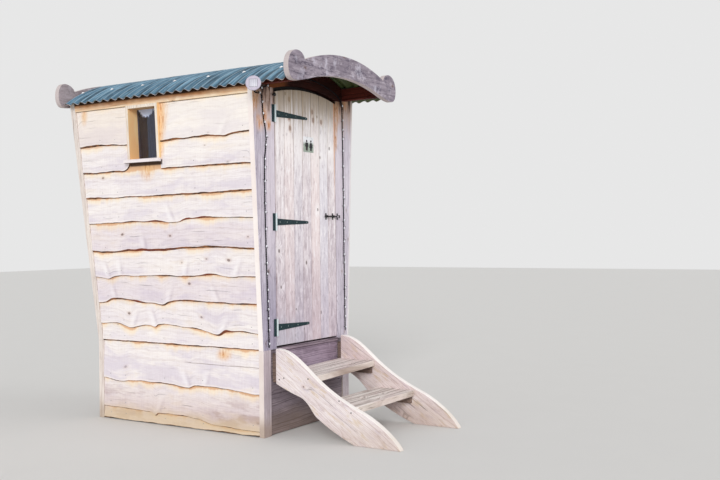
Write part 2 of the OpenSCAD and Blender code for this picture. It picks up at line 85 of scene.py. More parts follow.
# %% Wires that can be summed
class Wire:
    """The output of a node, which can be used in a sum."""

    def __init__(self, graph, made, output):
        self.graph = graph
        self.made = made
        self.output = output

    @property
    def socket(self):
        return self.made.outputs[self.output]

    def sum(self, operation, *values):
        return self.graph.node("ShaderNodeMath", {"operation": operation}, dict(enumerate(values)))

    def __add__(self, other):
        return self.sum("ADD", self, other)

    def __sub__(self, other):
        return self.sum("SUBTRACT", self, other)

    def __rsub__(self, other):
        return self.sum("SUBTRACT", other, self)

    def __mul__(self, other):
        return self.sum("MULTIPLY", self, other)

    def __abs__(self):
        return self.sum("ABSOLUTE", self)

    def __mod__(self, other):
        return self.sum("FLOORED_MODULO", self, other)

    __radd__ = __add__
    __rmul__ = __mul__


print("a wire takes + - * % and abs")

# %% Colours
def paint(red, green, blue):
    """A colour as it looks on a screen, 0 to 255, as the numbers that a socket takes."""
    channels = []
    for value in (red, green, blue):
        value /= 255
        channels.append(value / 12.92 if value <= 0.04045 else ((value + 0.055) / 1.055) ** 2.4)
    return (*channels, 1.0)


print("a screen's middle grey is", round(paint(128, 128, 128)[0], 3), "in a socket")

# %% A tree of nodes
class Graph:
    """A tree of nodes, and the one method that adds a node to it."""

    def __init__(self, tree):
        self.tree = tree
        tree.nodes.clear()

    def node(self, kind, settings=None, sockets=None, output=0):
        made = self.tree.nodes.new(kind)
        for name, value in (settings or {}).items():
            setattr(made, name, value)
        for name, value in (sockets or {}).items():
            if isinstance(value, Wire):
                self.tree.links.new(value.socket, made.inputs[name])
            else:
                made.inputs[name].default_value = value
        return Wire(self, made, output)


print("nodes ready")

# %% A finish and its helpers
class Finish(Graph):
    """A material, whose colours are laid one over another."""

    def __init__(self, name):
        self.material = bpy.data.materials.new(name)
        self.material.use_nodes = True
        super().__init__(self.material.node_tree)
        self.place = self.node("ShaderNodeTexCoord", output="Object")

    def mix(self, amount, first, second, how="MIX"):
        """Mixes two colours, which are wires or screen numbers, by an amount from 0 to 1."""
        first, second = (c if isinstance(c, Wire) else paint(*c) for c in (first, second))
        settings = {"data_type": "RGBA", "blend_type": how}
        return self.node("ShaderNodeMix", settings, {0: amount, 6: first, 7: second}, output=2)

    def grade(self, value, start, end):
        """A soft step: 0 at the start value, 1 at the end value."""
        sockets = {"Value": value, "From Min": start, "From Max": end}
        return self.node("ShaderNodeMapRange", {"interpolation_type": "SMOOTHSTEP"}, sockets)

    def tint(self, amount, colour, how="MIX"):
        """Lays a colour over the finish by a mask."""
        self.colour = self.mix(amount, self.colour, colour, how)

    def stain(self, value, start, end, amount, colour, how="MIX"):
        """Lays a colour over the finish, from none at a start value to an amount at an end."""
        self.tint(self.grade(value, start, end) * amount, colour, how)

    def reach(self, direction, of=None):
        """How far a point lies along a direction."""
        sockets = {0: of or self.place, 1: direction}
        return self.node("ShaderNodeVectorMath", {"operation": "DOT_PRODUCT"}, sockets, output="Value")

    def facing(self, direction):
        """1 where the surface faces a direction, -1 where it faces away."""
        return self.reach(direction, self.node("ShaderNodeTexCoord", output="Normal"))

    def near(self, point, radius, flat=1.0):
        """1 at a point, and 0 from a radius outwards. A flatness below 1 makes it taller."""
        stretch = Vector((1.0, 1.0, flat))
        scaled = self.node("ShaderNodeVectorMath", {"operation": "MULTIPLY"}, {0: self.place, 1: stretch})
        sockets = {0: scaled, 1: Vector(point) * stretch}
        far = self.node("ShaderNodeVectorMath", {"operation": "DISTANCE"}, sockets, output="Value")
        return self.grade(far, radius, 0.0)

    def join(self, x, y, z=0.0):
        return self.node("ShaderNodeCombineXYZ", {}, {"X": x, "Y": y, "Z": z})

    def cloud(self, place, scale, detail=2.0, roughness=0.5):
        """Soft noise from 0 to 1."""
        sockets = {"Vector": place, "Scale": scale, "Detail": detail, "Roughness": roughness}
        return self.node("ShaderNodeTexNoise", {}, sockets)

    def mark(self, name):
        """A number that the mesh carries at each point."""
        return self.node("ShaderNodeAttribute", {"attribute_name": name}, output="Fac")

    def surface(self, roughness, height=None, relief=0.001, sockets=None):
        """A Principled surface, with relief where a height is given."""
        sockets = {"Base Color": self.colour, "Roughness": roughness, **(sockets or {})}
        if height is not None:
            bump = {"Height": height, "Distance": relief, "Strength": 1.0}
            sockets["Normal"] = self.node("ShaderNodeBump", {}, bump)
        return self.node("ShaderNodeBsdfPrincipled", {}, sockets)

    def close(self, *given, **named):
        """Ends the material in a Principled surface."""
        self.node("ShaderNodeOutputMaterial", {}, {"Surface": self.surface(*given, **named)})
        return self.material


print("finishes ready")

# %% [markdown]
# The light is plain and soft, as on a cloudy day, so that colours come out as they are
# written: a wide key from the left, a weak fill from the front right, and a grey world.
# What the camera, gloss and glass see of the world is paler than what it sheds, so that the
# backdrop is pale without more light on the hut.

# %% Plain studio
SHED, SEEN = 0.60, 0.80
PALE_TO = ("Is Camera Ray", "Is Glossy Ray", "Is Transmission Ray")


def soft_sun(name, towards, strength, spread):
    light = bpy.data.lights.new(name, "SUN")
    light.energy = strength
    light.angle = math.radians(spread)
    made = bpy.data.objects.new(name, light)
    made.rotation_euler = Vector(towards).to_track_quat("Z", "Y").to_euler()
    bpy.context.scene.collection.objects.link(made)


soft_sun("key", (-0.78, -0.44, 0.36), 1.75, 24)
soft_sun("fill", (0.30, -0.88, 0.25), 0.60, 40)
world = bpy.data.worlds.new("studio")
world.use_nodes = True
bpy.context.scene.world = world
studio = Graph(world.node_tree)
seen = sum(studio.node("ShaderNodeLightPath", output=ray) for ray in PALE_TO)
strength = studio.node("ShaderNodeMapRange", {}, {"Value": seen, "To Min": SHED, "To Max": SEEN})
sky = studio.node("ShaderNodeBackground", {}, {"Color": (1.0, 1.0, 1.0, 1.0), "Strength": strength})
studio.node("ShaderNodeOutputWorld", {}, {"Surface": sky})
bpy.context.scene.view_settings.view_transform = "Standard"

# %% Pale floor
FLOOR_REACH = 30
SQUARE = [(-1, -1), (1, -1), (1, 1), (-1, 1)]
floor_finish = Finish("pale_floor")
speckle = floor_finish.cloud(floor_finish.place, 3.0, 4.0)
floor_finish.colour = floor_finish.mix(speckle * 0.3, (222, 221, 219), (214, 213, 211))
floor_mesh = bpy.data.meshes.new("floor")
floor_mesh.from_pydata([(x * FLOOR_REACH, y * FLOOR_REACH, 0) for x, y in SQUARE], [], [(0, 1, 2, 3)])
floor_mesh.materials.append(floor_finish.close(0.9))
floor = bpy.data.objects.new("floor", floor_mesh)
bpy.context.scene.collection.objects.link(floor)
print("floor reaches", FLOOR_REACH, "m each way")

# %% [markdown]
# Sawn wood looks as it does because a board is a slice through rings. The rings run along
# the board, wander a little, and flow round each knot. So the pattern starts from one
# number, how far across the board a point lies, which is bent by slow noise and pushed
# aside near a knot. Thin noise of that number then gives rings of uneven width. Weather
# greys the wood in long patches, dries it into fine cracks, and lifts the harder rings.
# On a waney board the rings run along its wavy edge, so there the number is the height
# over that edge, which the mesh carries as a mark.

# %% Sawn wood
UPRIGHT = (0, 0, 1)
SIDEWAYS = (1, 0, 0)
BACKWARDS = (0, 1, 0)


class Wood(Finish):
    """Weathered sawn wood, with the grain along one direction."""

    def __init__(
        self, name, grain, across, pale, grey, dark, knots=0.3, rings=0.5, fine=120.0, grime=0.3, waney=False
    ):
        super().__init__(name)
        deep = self.reach(Vector(grain).cross(Vector(across)))
        self.board = self.mark("board")
        self.along = self.reach(grain) + self.board * 23.0
        self.side = (self.mark("rise") if waney else self.reach(across)) + self.board * 5.0
        along, side = self.along, self.side

        spots = {"Vector": self.join(along * 4.5, side * 7.0), "Scale": 1.0, "Randomness": 0.9}
        flat = {"voronoi_dimensions": "2D"}
        reach = self.node("ShaderNodeTexVoronoi", flat, spots, output="Distance")
        chance = self.node("ShaderNodeTexVoronoi", flat, spots, output="Color")
        chance = self.node("ShaderNodeSeparateColor", {}, {0: chance})
        has_knot = self.grade(chance, 1 - knots, 1.01 - knots)
        outside = reach - (self.grade(chance, 1 - knots, 1.0) * 0.03 + 0.03)
        swirl = self.grade(reach, 0.36, 0.0) * has_knot
        self.knot = self.grade(outside, 0.012, -0.012) * has_knot
        halo = self.grade(outside, 0.11, 0.0) * has_knot
        self.flame = self.grade(outside, 0.30, 0.02) * has_knot

        drift = self.cloud(self.join(along * 1.1, side * 4.0, deep * 3.0), 1.0)
        ring_place = {"W": side + drift * 0.09 + swirl * 0.03, "Scale": fine, "Detail": 2.5, "Roughness": 0.6}
        lines = self.node("ShaderNodeTexNoise", {"noise_dimensions": "1D"}, ring_place)
        self.rings = self.grade(lines, 0.45, 0.72)
        fibre = self.cloud(self.join(along * 9.0, side * 330.0, deep * 330.0), 1.0)
        self.fibre = self.grade(fibre, 0.3, 0.7)
        crack = self.cloud(self.join(along * 3.0, side * 95.0 + swirl * 4.0, deep * 20.0), 1.0, 1.0)
        self.crack = self.grade(crack, 0.71, 0.77)
        patch = self.cloud(self.join(along * 2.6, side * 9.0, deep * 6.0), 1.0, 4.0, 0.62)
        self.weather = self.grade(patch, 0.34, 0.64)
        mottle = self.cloud(self.join(along * 15.0, side * 62.0, deep * 40.0), 1.0, 5.0, 0.75)

        self.colour = self.mix(self.weather, pale, grey)
        self.stain(mottle, 0.50, 0.68, grime, dark, "MULTIPLY")
        self.tint(self.rings * rings, dark, "MULTIPLY")
        self.tint(self.fibre * 0.20, dark, "MULTIPLY")
        self.tint(halo * 0.22, (196, 150, 112), "MULTIPLY")
        self.tint(self.knot * 0.75, (104, 80, 70))
        self.tint(self.crack * 0.5, (96, 84, 86))
        self.height = self.rings * 0.45 + self.fibre * 0.25 - self.crack * 1.2 - self.knot * 0.4

    def wander(self, along=5.0, side=14.0, detail=3.0, roughness=0.5):
        """Noise that is stretched with the grain, for streaks and the ragged borders of stains."""
        return self.cloud(self.join(self.along * along, self.side * side), 1.0, detail, roughness)

    def done(self, relief=0.0010, shine=0.5):
        return self.close(self.fibre * 0.12 + 0.72, self.height, relief, {"Specular IOR Level": shine})


print("wood ready")

# %% [markdown]
# Pieces are built point by point. A `Shape` collects closed rings of points, joins each
# ring to the next with faces, and keeps a few numbers at each point for the finish to read,
# such as which board it belongs to.

# %% Building shapes
class Shape:
    """Points, faces and marks, which become one piece."""

    def __init__(self):
        self.points = []
        self.faces = []
        self.marks = {}

    def loft(self, rings, **marks):
        """Joins rings of points in order and closes both ends. A mark is a number or a list."""
        first, n = len(self.points), len(rings[0])
        self.points += [p for ring in rings for p in ring]
        end = len(self.points)
        self.faces += [
            [a + j, a + (j + 1) % n, a + n + (j + 1) % n, a + n + j]
            for a in range(first, end - n, n)
            for j in range(n)
        ]
        self.faces += [list(range(first, first + n)), list(range(end - n, end))]
        for name, values in marks.items():
            known = self.marks.setdefault(name, [0.0] * first)
            known += values if isinstance(values, list) else [values] * (end - first)
        for known in self.marks.values():
            known += [0.0] * (end - len(known))

    def piece(self, name, material, body, slot, sharp=40):
        mesh = bpy.data.meshes.new(name)
        mesh.from_pydata([tuple(p) for p in self.points], [], self.faces)
        for mark, values in self.marks.items():
            mesh.attributes.new(mark, "FLOAT", "POINT").data.foreach_set("value", values)
        tidy = bmesh.new()
        tidy.from_mesh(mesh)
        bmesh.ops.recalc_face_normals(tidy, faces=tidy.faces)
        tidy.to_mesh(mesh)
        tidy.free()
        mesh.shade_smooth()
        mesh.set_sharp_from_angle(angle=math.radians(sharp))
        mesh.materials.append(material)
        made = bpy.data.objects.new(name, mesh)
        bpy.context.scene.collection.objects.link(made)
        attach(made, body)
        print(name, len(mesh.polygons), "faces")
        return made


print("a new shape has", len(Shape().points), "points")

# %% A smooth line through chosen points
def smooth_line(points):
    """A curve through points given as (place, value), as a function of the place."""
    places, values = zip(*sorted(points))
    last = len(places) - 1
    slopes = []
    for i in range(last + 1):
        a, b = max(i - 1, 0), min(i + 1, last)
        slopes.append((values[b] - values[a]) / (places[b] - places[a]))

    def line(place):
        place = min(max(place, places[0]), places[-1])
        i = min(sum(p <= place for p in places), last) - 1
        width = places[i + 1] - places[i]
        t = (place - places[i]) / width
        rise = values[i + 1] - values[i]
        start, end = slopes[i] * width, slopes[i + 1] * width
        bend = t * t * (3 * rise - 2 * start - end) + t ** 3 * (start + end - 2 * rise)
        return values[i] + t * start + bend

    return line


print("half way up a smooth step", round(smooth_line([(0, 0), (1, 0), (2, 1), (3, 1)])(1.5), 2))

# %% Rings, tubes and domes
def ring_points(middle, first, second, radius, sides):
    turns = [2 * math.pi * i / sides for i in range(sides)]
    return [middle + radius * (math.cos(t) * first + math.sin(t) * second) for t in turns]


def dome(shape, at, out, radius, height, sides=10, washer=0.0):
    """Adds a domed head, such as a screw's, that stands on a surface."""
    at, out = Vector(at), Vector(out).normalized()
    first = out.orthogonal().normalized()
    second = out.cross(first)
    steps = [(washer, 0.0), (washer, 0.2 * height)] if washer else []
    steps += [(radius, 0.0), (radius, 0.45 * height), (0.72 * radius, 0.85 * height), (0.25 * radius, height)]
    shape.loft([ring_points(at + out * lift, first, second, r, sides) for r, lift in steps])


def headings(route):
    """The way a route runs at each of its points."""
    return [(after - before).normalized() for before, after in zip(route[:1] + route, route[1:] + route[-1:])]


def tube(shape, route, radius, sides):
    """Adds a round bar along a route. The bar's own directions turn as little as they can."""
    side = (route[1] - route[0]).orthogonal().normalized()
    rings = []
    for point, heading in zip(route, headings(route)):
        side = (side - heading * side.dot(heading)).normalized()
        rings.append(ring_points(point, side, heading.cross(side), radius, sides))
    shape.loft(rings)


print("shapes ready")

# %% [markdown]
# The main planes are read from the frame. Only the two leans are written down again, since
# a box doesn't tell a slope.

# %% Planes of the hut
SIDE_LEAN = math.tan(math.radians(3.0))
REAR_LEAN = math.tan(math.radians(5.8))

base_low, base_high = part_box("lower_front_corner_boards")
HALF_BASE = base_high.x
FLOOR_Z = base_high.z
FRONT_Y = base_low.y
FRAMING_Y = base_high.y
REAR_BASE_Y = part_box("lower_rear_corner_boards")[1].y
EAVE_BOARD_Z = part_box("eave_boards")[0].z
CORNER_LEG = 0.045


def half_width(z):
    return HALF_BASE + max(0.0, z - FLOOR_Z) * SIDE_LEAN


def rear_face(z):
    return REAR_BASE_Y + max(0.0, z - FLOOR_Z) * REAR_LEAN


print("front at", round(FRONT_Y, 3), "floor at", round(FLOOR_Z, 3))

# %% [markdown]
# The side boards are waney: sawn from the whole width of a log, with the log's own wavy
# edge left on below. They have hardly any colour left but are still cream where the lap
# above keeps the rain off, and brown scraps of bark cling to the wavy edge. Below the
# window, and where knots bleed, resin has stained them orange. A dark strip of painted
# shadow lies under the sill; a long split runs through one low board, and the lowest boards
# are splashed from the ground. Each board's lower edge gets a pale painted highlight. The
# finish reads marks on the mesh: the height over the board's edge, the distance below the
# board above, and how far a point belongs to the bark, to a loose scrap of it, to a flame
# beside a knot or to the painted shade beside a flame.

# %% Finish of the waney boards
WEATHER_STAINS = [
    (0.735, 2.190, 0.100, 0.55), (0.740, 2.080, 0.075, 0.45), (0.750, 1.960, 0.050, 0.30),
    (0.887, 1.785, 0.100, 0.90), (0.269, 0.520, 0.090, 1.60), (1.490, 2.200, 0.050, 0.50),
]
DULL_BANDS_Z = (0.95, 1.31)
# Where the strip of painted shadow under the sill lies.
SILL_SHADOW_Y, SILL_SHADOW_Z = 0.893, 1.828
SPLIT_Z = 0.457


def left_wall_stains(wood, ragged):
    """What only the wall in the photograph has, in the order in which it is laid on."""
    height, back = wood.reach(UPRIGHT), wood.reach(BACKWARDS)
    wood.stain(height, 1.80, 2.10, 0.45, (255, 248, 236))
    behind = wood.grade(back, 1.02, 1.12) * wood.grade(height, 1.92, 2.00)
    wood.tint(behind * 0.22, (226, 208, 196), "MULTIPLY")
    for z in DULL_BANDS_Z:
        wood.stain(abs(height - z), 0.11, 0.07, 0.50, (238, 231, 238), "MULTIPLY")
    drip = wood.cloud(wood.join(back * 70.0, height * 14.0), 1.0, 5.0, 0.7)
    for y, z, reach, flat in WEATHER_STAINS:
        near = wood.near((-half_width(z), y, z), reach, flat)
        wood.tint(near * wood.grade(drip + ragged * 0.4, 0.44, 0.66) * 0.90, (240, 196, 142))
        wood.tint(near * wood.grade(drip, 0.50, 0.60) * 0.75, (190, 112, 58))
    # A dark strip of painted shadow just under the sill.
    sill_shadow = wood.grade(abs(height - SILL_SHADOW_Z), 0.024, 0.012)
    wood.tint(sill_shadow * wood.grade(abs(back - SILL_SHADOW_Y), 0.165, 0.150) * 0.92, (46, 24, 18))
    split = wood.grade(abs(height - SPLIT_Z + ragged * 0.014), 0.0032, 0.0008)
    wood.tint(split * wood.grade(back, 0.64, 0.56) * 0.75, (120, 98, 90))


def waney_finish(name, grain):
    wood = Wood(
        name, grain, UPRIGHT, (252, 247, 244), (244, 238, 240), (190, 172, 168),
        knots=0.20, rings=0.15, fine=46.0, grime=0.22, waney=True,
    )
    drop, height, ragged = wood.mark("drop"), wood.reach(UPRIGHT), wood.wander()
    figure = wood.cloud(wood.join(wood.along * 3.2, wood.side * 9.0, wood.board * 9.0), 1.0, 5.0, 0.62)
    wood.stain(figure + drop, 0.56, 0.76, 0.58, (215, 206, 219))
    wood.stain(figure, 0.40, 0.30, 0.35, (236, 222, 206))
    band = wood.cloud(wood.join(wood.along * 5.0, wood.board * 31.0), 1.0, 4.0, 0.6) - 0.5
    wood.stain(drop - band * 0.18, 0.046, -0.004, 0.72, (255, 236, 202))
    wood.stain(drop - band * 0.09, 0.012, -0.003, 0.70, (222, 160, 104))
    wood.stain(wood.wander(150.0, 5.0, 2.0), 0.46, 0.60, 0.09, (206, 192, 196), "MULTIPLY")
    # A pale flame is grain figure that also carries a painted sheen; the darker band beside it is painted
    # shade.
    wood.tint(wood.mark("flare") * 0.5, (254, 251, 251))
    wood.tint(wood.mark("shade") * 0.4, (190, 178, 188))
    # A pale painted highlight along each board's lower edge.
    wood.stain(wood.mark("rise"), 0.024, 0.008, 0.6, (255, 247, 243))
    if name == "left_boards":
        left_wall_stains(wood, ragged)
    splash = wood.grade(height - ragged * 0.10, 0.28, 0.02)
    wood.tint(splash * 0.75, (226, 212, 208), "MULTIPLY")
    wood.tint(splash * wood.grade(figure, 0.50, 0.60) * 0.50, (208, 184, 158), "MULTIPLY")
    wood.stain(height - ragged * 0.12, 0.09, -0.02, 0.66, (214, 192, 154))
    wood.tint(wood.board * 0.10, (220, 211, 216), "MULTIPLY")
    bark = wood.mix(wood.grade(wood.wander(16.0, 60.0), 0.40, 0.62), (66, 38, 22), (150, 98, 58))
    bark = wood.mix(wood.mark("scrap") * 0.8, bark, wood.mix(ragged, (158, 60, 30), (74, 34, 24)))
    wood.tint(wood.grade(wood.mark("bark"), 0.35, 0.65), bark)
    return wood.done()


left_board_finish = waney_finish("left_boards", BACKWARDS)
right_board_finish = waney_finish("right_boards", BACKWARDS)
rear_board_finish = waney_finish("rear_boards", SIDEWAYS)
print("waney finishes ready")

# %% [markdown]
# A waney board is made as a row of cross-sections along the wall. Each starts at the back
# of the lower edge, follows the bark side outwards, turns up the outer face and comes down
# the back. The foot stands out over the head of the board below, as in any lapped wall, so
# each row throws a thin shadow on the next. Small seeded waves keep an edge from looking
# drawn.

# %% One waney board
BOARD_T = 0.013
FOOT_DEPTH = 0.0015
HEAD_DEPTH = 0.0145
LAP = 0.025
GAP = 0.0015
STEP_ALONG = 0.010
ROWS_UP = 10
FACE_AT = 0.0015


def face_depth(t):
    """How far the outer face lies inside the cladding's front, from the foot to the head."""
    return FOOT_DEPTH + (HEAD_DEPTH - FOOT_DEPTH) * t


def bump(away, width):
    return math.exp(-((away / width) ** 2))


def wave(x, y, z, size):
    """A seeded wave, which is the same each time the script runs."""
    return noise.noise(Vector((x, y, z))) * size


def cross_section(s, tall, edge, number):
    """Heights over the foot, depths and shares of bark, from the back up the face and down."""
    section = [
        (0.003, FOOT_DEPTH + BOARD_T, 1.0), (0.0, FOOT_DEPTH + 0.7 * BOARD_T, 1.0),
        (0.45 * edge, FOOT_DEPTH + 0.35 * BOARD_T, 1.0), (0.85 * edge, FOOT_DEPTH + 0.09 * BOARD_T, 1.0),
        (edge, FOOT_DEPTH + 0.0004, 0.5),
    ]
    for k in range(ROWS_UP + 1):
        t = k / ROWS_UP
        swell = wave(s * 5, t * 2, number * 1.7, 0.0015) * math.sin(math.pi * t)
        section.append((edge + FACE_AT + (tall - edge - FACE_AT) * t, face_depth(t) + swell, 0.0))
    section.append((tall, HEAD_DEPTH + BOARD_T, 0.0))
    return section


def waney_board(
    shape, place, span, foot_line, head_line, cover_line, number, rim=0.0075, flares=(), scraps=()
):
    """Adds a board. `span` gives the place along the wall for 0 to 1 at a height."""
    middle = foot_line(span(0.5, FLOOR_Z))
    columns = max(3, round(abs(span(1, middle) - span(0, middle)) / STEP_ALONG))
    rings = []
    marks = {name: [] for name in ("rise", "drop", "bark", "scrap", "flare", "shade")}
    for i in range(columns + 1):
        s = span(i / columns, middle)
        foot = foot_line(s) + wave(s * 14, number * 7.3, 0.0, 0.0035)
        foot += wave(s * 50, number * 3.1, 5.0, 0.0015)
        tall = max(head_line(s) - foot, 0.012)
        scrap = max((bump(s - y, length) for y, z, length, more in scraps), default=0.0)
        thick = max((bump(s - y, length) * more for y, z, length, more in scraps), default=0.0)
        edge = rim + wave(s * 7, number * 5.7, 9.0, 0.0075) + thick
        section = cross_section(s, tall, min(max(edge, 0.002), tall * 0.5), number)
        rings.append([place(span(i / columns, foot + up), foot + up, deep) for up, deep, _ in section])
        for up, _, bark in section:
            marks["rise"].append(up)
            marks["drop"].append(cover_line(s) - foot - up)
            marks["bark"].append(bark)
            marks["scrap"].append(scrap)
            for mark, aside, width in (("flare", 0.0, 0.020), ("shade", 0.034, 0.012)):
                near = [
                    bump(s - y + aside - lean * (foot + up - z), width) * bump(foot + up - z - 0.05, 0.065)
                    for y, z, lean in flares
                ]
                marks[mark].append(max(near, default=0.0))
    shape.loft(rings, board=number * 0.0713 % 1.0, **marks)


def level(z):
    return lambda s: z


def over(laps):
    """The heads of the boards below some laps, each hidden by the board that overlaps it."""
    return [lambda s, lap=lap: lap(s) + LAP for lap in laps]


print("a board is", BOARD_T, "m thick")

# %% [markdown]
# On the left wall the laps are the real ones, with a few chosen points each, in
# millimetres from the front of the framing and above the ground. Where a knot once bulged
# the log, a pale flame rises from the edge, and here and there a scrap of red bark is left.
# The window breaks the two upper rows: the board at its left ends in a round corner under
# the sill, and the board below climbs to the sill.

# %% Laps of the left wall
MM = 0.001
LEFT_LAPS = [
    [(1540, 1965), (1330, 1970), (1062, 1962), (750, 1965), (560, 1972), (345, 1976), (235, 1970),
     (175, 1965), (125, 1975), (-40, 1986)],
    [(1520, 1776), (1395, 1773), (1240, 1779), (1132, 1776), (1092, 1781), (1066, 1797), (1045, 1824),
     (1030, 1845)],
    [(1495, 1594), (1255, 1592), (1055, 1596), (830, 1595), (495, 1596), (-40, 1604)],
    [(1475, 1410), (1270, 1415), (1070, 1418), (845, 1418), (672, 1410), (595, 1417), (525, 1431),
     (285, 1436), (95, 1434), (-40, 1427)],
    [(1452, 1208), (1345, 1201), (1263, 1203), (1080, 1215), (795, 1215), (655, 1225), (500, 1234),
     (250, 1236), (-40, 1221)],
    [(1430, 1026), (1317, 1016), (1245, 1032), (1095, 1037), (805, 1041), (592, 1037), (440, 1046),
     (305, 1054), (162, 1036), (95, 1043), (-40, 1045)],
    [(1420, 836), (1350, 845), (1287, 863), (1156, 865), (990, 848), (865, 844), (790, 837),
     (742, 855), (665, 868), (450, 870), (190, 863), (-40, 862)],
    [(1400, 690), (1240, 693), (1120, 666), (1020, 683), (923, 692), (876, 680), (846, 698),
     (780, 704), (640, 692), (460, 679), (304, 646), (243, 669), (130, 680), (-40, 670)],
    [(1400, 565), (-40, 565)],
    [(1400, 297), (1232, 274), (1127, 290), (936, 289), (746, 285), (582, 274), (516, 292),
     (340, 295), (-40, 273)],
    [(1400, 88), (1135, 84), (987, 80), (929, 78), (891, 58), (862, 75), (749, 80), (520, 72),
     (369, 45), (-40, 30)],
]
FLARES = [(1.12, 0.666, -0.5), (0.876, 0.68, 0.4), (0.304, 0.646, -0.6), (0.760, 0.842, -0.3),
          (0.30, 0.862, 0.5), (0.672, 1.41, 0.5), (0.235, 1.97, -0.6), (1.26, 0.86, 0.3),
          (0.891, 0.058, -0.4), (0.582, 0.274, 0.5), (1.317, 1.016, 0.4), (0.155, 1.036, -0.4),
          (0.592, 1.037, -0.2), (1.20, 1.033, 0.1), (0.95, 1.215, 0.2), (0.45, 0.282, -0.3)]
SCRAPS = [(0.533, 1.430, 0.05, 0.006), (0.240, 0.669, 0.065, 0.016), (1.040, 0.853, 0.05, 0.010),
          (0.850, 1.418, 0.10, 0.005), (0.415, 1.434, 0.07, 0.006), (0.385, 1.041, 0.06, 0.006),
          (0.900, 1.211, 0.25, 0.005)]
left_laps = [smooth_line([(y * MM, z * MM) for y, z in points]) for points in LEFT_LAPS]
beside_window = smooth_line([(-0.04, 1.781), (0.70, 1.780), (1.20, 1.779), (1.62, 1.776)])
LOWEST = 0.004
print(len(left_laps), "laps")

# %% Places along the walls
WINDOW_LOW, WINDOW_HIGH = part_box("window_frame")
NEAR_END = FRAMING_Y + GAP


def on_side(side):
    """The place of a point on the left wall (side -1) or the right wall (side 1)."""
    return lambda y, z, deep: Vector((side * (half_width(z) - deep), y, z))


def on_rear(x, z, deep):
    return Vector((x, rear_face(z) - deep, z))


def run(near, far=None):
    """Places from a near edge to a far one, or to the rear corner board."""
    return lambda u, z: near + u * ((rear_face(z) - CORNER_LEG - GAP if far is None else far) - near)


def across_rear(u, z):
    return (2 * u - 1) * (half_width(z) - CORNER_LEG - GAP)


print("window from", round(WINDOW_LOW.y, 3), "to", round(WINDOW_HIGH.y, 3), "m behind the front")

# %% Boards of the left wall
CLIMB_END = 1.10


def climbs_to_sill(y):
    return WINDOW_LOW.z - GAP if WINDOW_LOW.y - 0.02 < y < CLIMB_END else beside_window(y) + LAP


def rounded_head(y):
    return left_laps[0](y) + LAP if y > WINDOW_HIGH.y + GAP else WINDOW_LOW.z - GAP


cladding_left = Shape()
near_side, far_side = run(NEAR_END, WINDOW_LOW.y - GAP), run(WINDOW_HIGH.y + GAP)
eave, eave_cover = level(EAVE_BOARD_Z - 0.0035), level(EAVE_BOARD_Z + 0.012)
under_lap = over(left_laps)
boards = [
    (near_side, left_laps[0], eave, eave_cover),
    (far_side, left_laps[0], eave, eave_cover),
    (near_side, beside_window, under_lap[0], left_laps[0]),
    (run(WINDOW_LOW.y + 0.285), left_laps[1], rounded_head, left_laps[0]),
    (run(NEAR_END), left_laps[2], climbs_to_sill, beside_window),
]
boards += [(run(NEAR_END), left_laps[i + 1], under_lap[i], left_laps[i]) for i in range(2, 10)]
boards.append((run(NEAR_END), level(LOWEST), under_lap[10], left_laps[10]))
BARK_MM = [9, 9, 8, 9, 9, 4, 11, 4, 8, 5, 8, 5, 5, 5]
for number, (lines, bark_mm) in enumerate(zip(boards, BARK_MM)):
    foot = lines[1]
    on_edge = [[spot for spot in spots if abs(foot(spot[0]) - spot[1]) < 0.03] for spots in (FLARES, SCRAPS)]
    waney_board(cladding_left, on_side(-1), *lines, number + 1, bark_mm * MM, *on_edge)
cladding_left.piece("cladding_left", left_board_finish, "hut", "cladding_wood")

# %% [markdown]
# The photograph doesn't show the right wall and the rear wall. They get boards of the same
# heights, with seeded waves of their own, since such a hut is clad alike all round. On the
# rear wall the boards go on up to the roof's arch.

# %% Boards of the right wall
def seeded_lap(height, seed):
    return lambda s: height + wave(s * 1.6, seed * 3.7, 1.0, 0.020) + wave(s * 6.0, seed * 9.1, 2.0, 0.007)


def clad(shape, place, span, laps, top, first_number):
    """Clads a wall from its top line down to the ground, and gives the rows' feet and heads."""
    rows = list(zip(laps + [level(LOWEST)], [top] + over(laps)))
    for i, (foot, head) in enumerate(rows):
        waney_board(shape, place, span, foot, head, laps[i - 1] if i else top, first_number + i)
    return rows


LAP_HEIGHTS = [1.972, 1.779, 1.596, 1.420, 1.218, 1.038, 0.855, 0.682, 0.565, 0.286, 0.070]
right_laps = [seeded_lap(z, i) for i, z in enumerate(LAP_HEIGHTS)]
cladding_right = Shape()
right_rows = clad(cladding_right, on_side(1), run(NEAR_END), right_laps, eave, 20)
cladding_right.piece("cladding_right", right_board_finish, "hut", "cladding_wood")

# %% Rear wall and its gable
ROOF_AXIS_Z, UNDER_R = 1.394, 1.0900
REAR_TOP_LAP = 2.150
GABLE_FOOT = 2.322


def arch(x):
    return ROOF_AXIS_Z + math.sqrt(UNDER_R ** 2 - x ** 2)


def under_gable(x):
    return min(GABLE_FOOT + 0.023, arch(x))


def across_gable(u, z):
    half = math.sqrt(UNDER_R ** 2 - (GABLE_FOOT + 0.003 - ROOF_AXIS_Z) ** 2)
    return (2 * u - 1) * (half - 0.004)


rear_laps = [seeded_lap(z, i + 30) for i, z in enumerate([REAR_TOP_LAP] + LAP_HEIGHTS)]
cladding_rear = Shape()
rear_rows = clad(cladding_rear, on_rear, across_rear, rear_laps, under_gable, 40)
waney_board(cladding_rear, on_rear, across_gable, seeded_lap(GABLE_FOOT, 52), arch, arch, 53)
cladding_rear.piece("cladding_rear", rear_board_finish, "hut", "cladding_wood")

# %% [markdown]
# Each board is held by nails just above its lap, at the corner posts and at the studs
# between them. Nail heads are small domes that have gone dull grey.

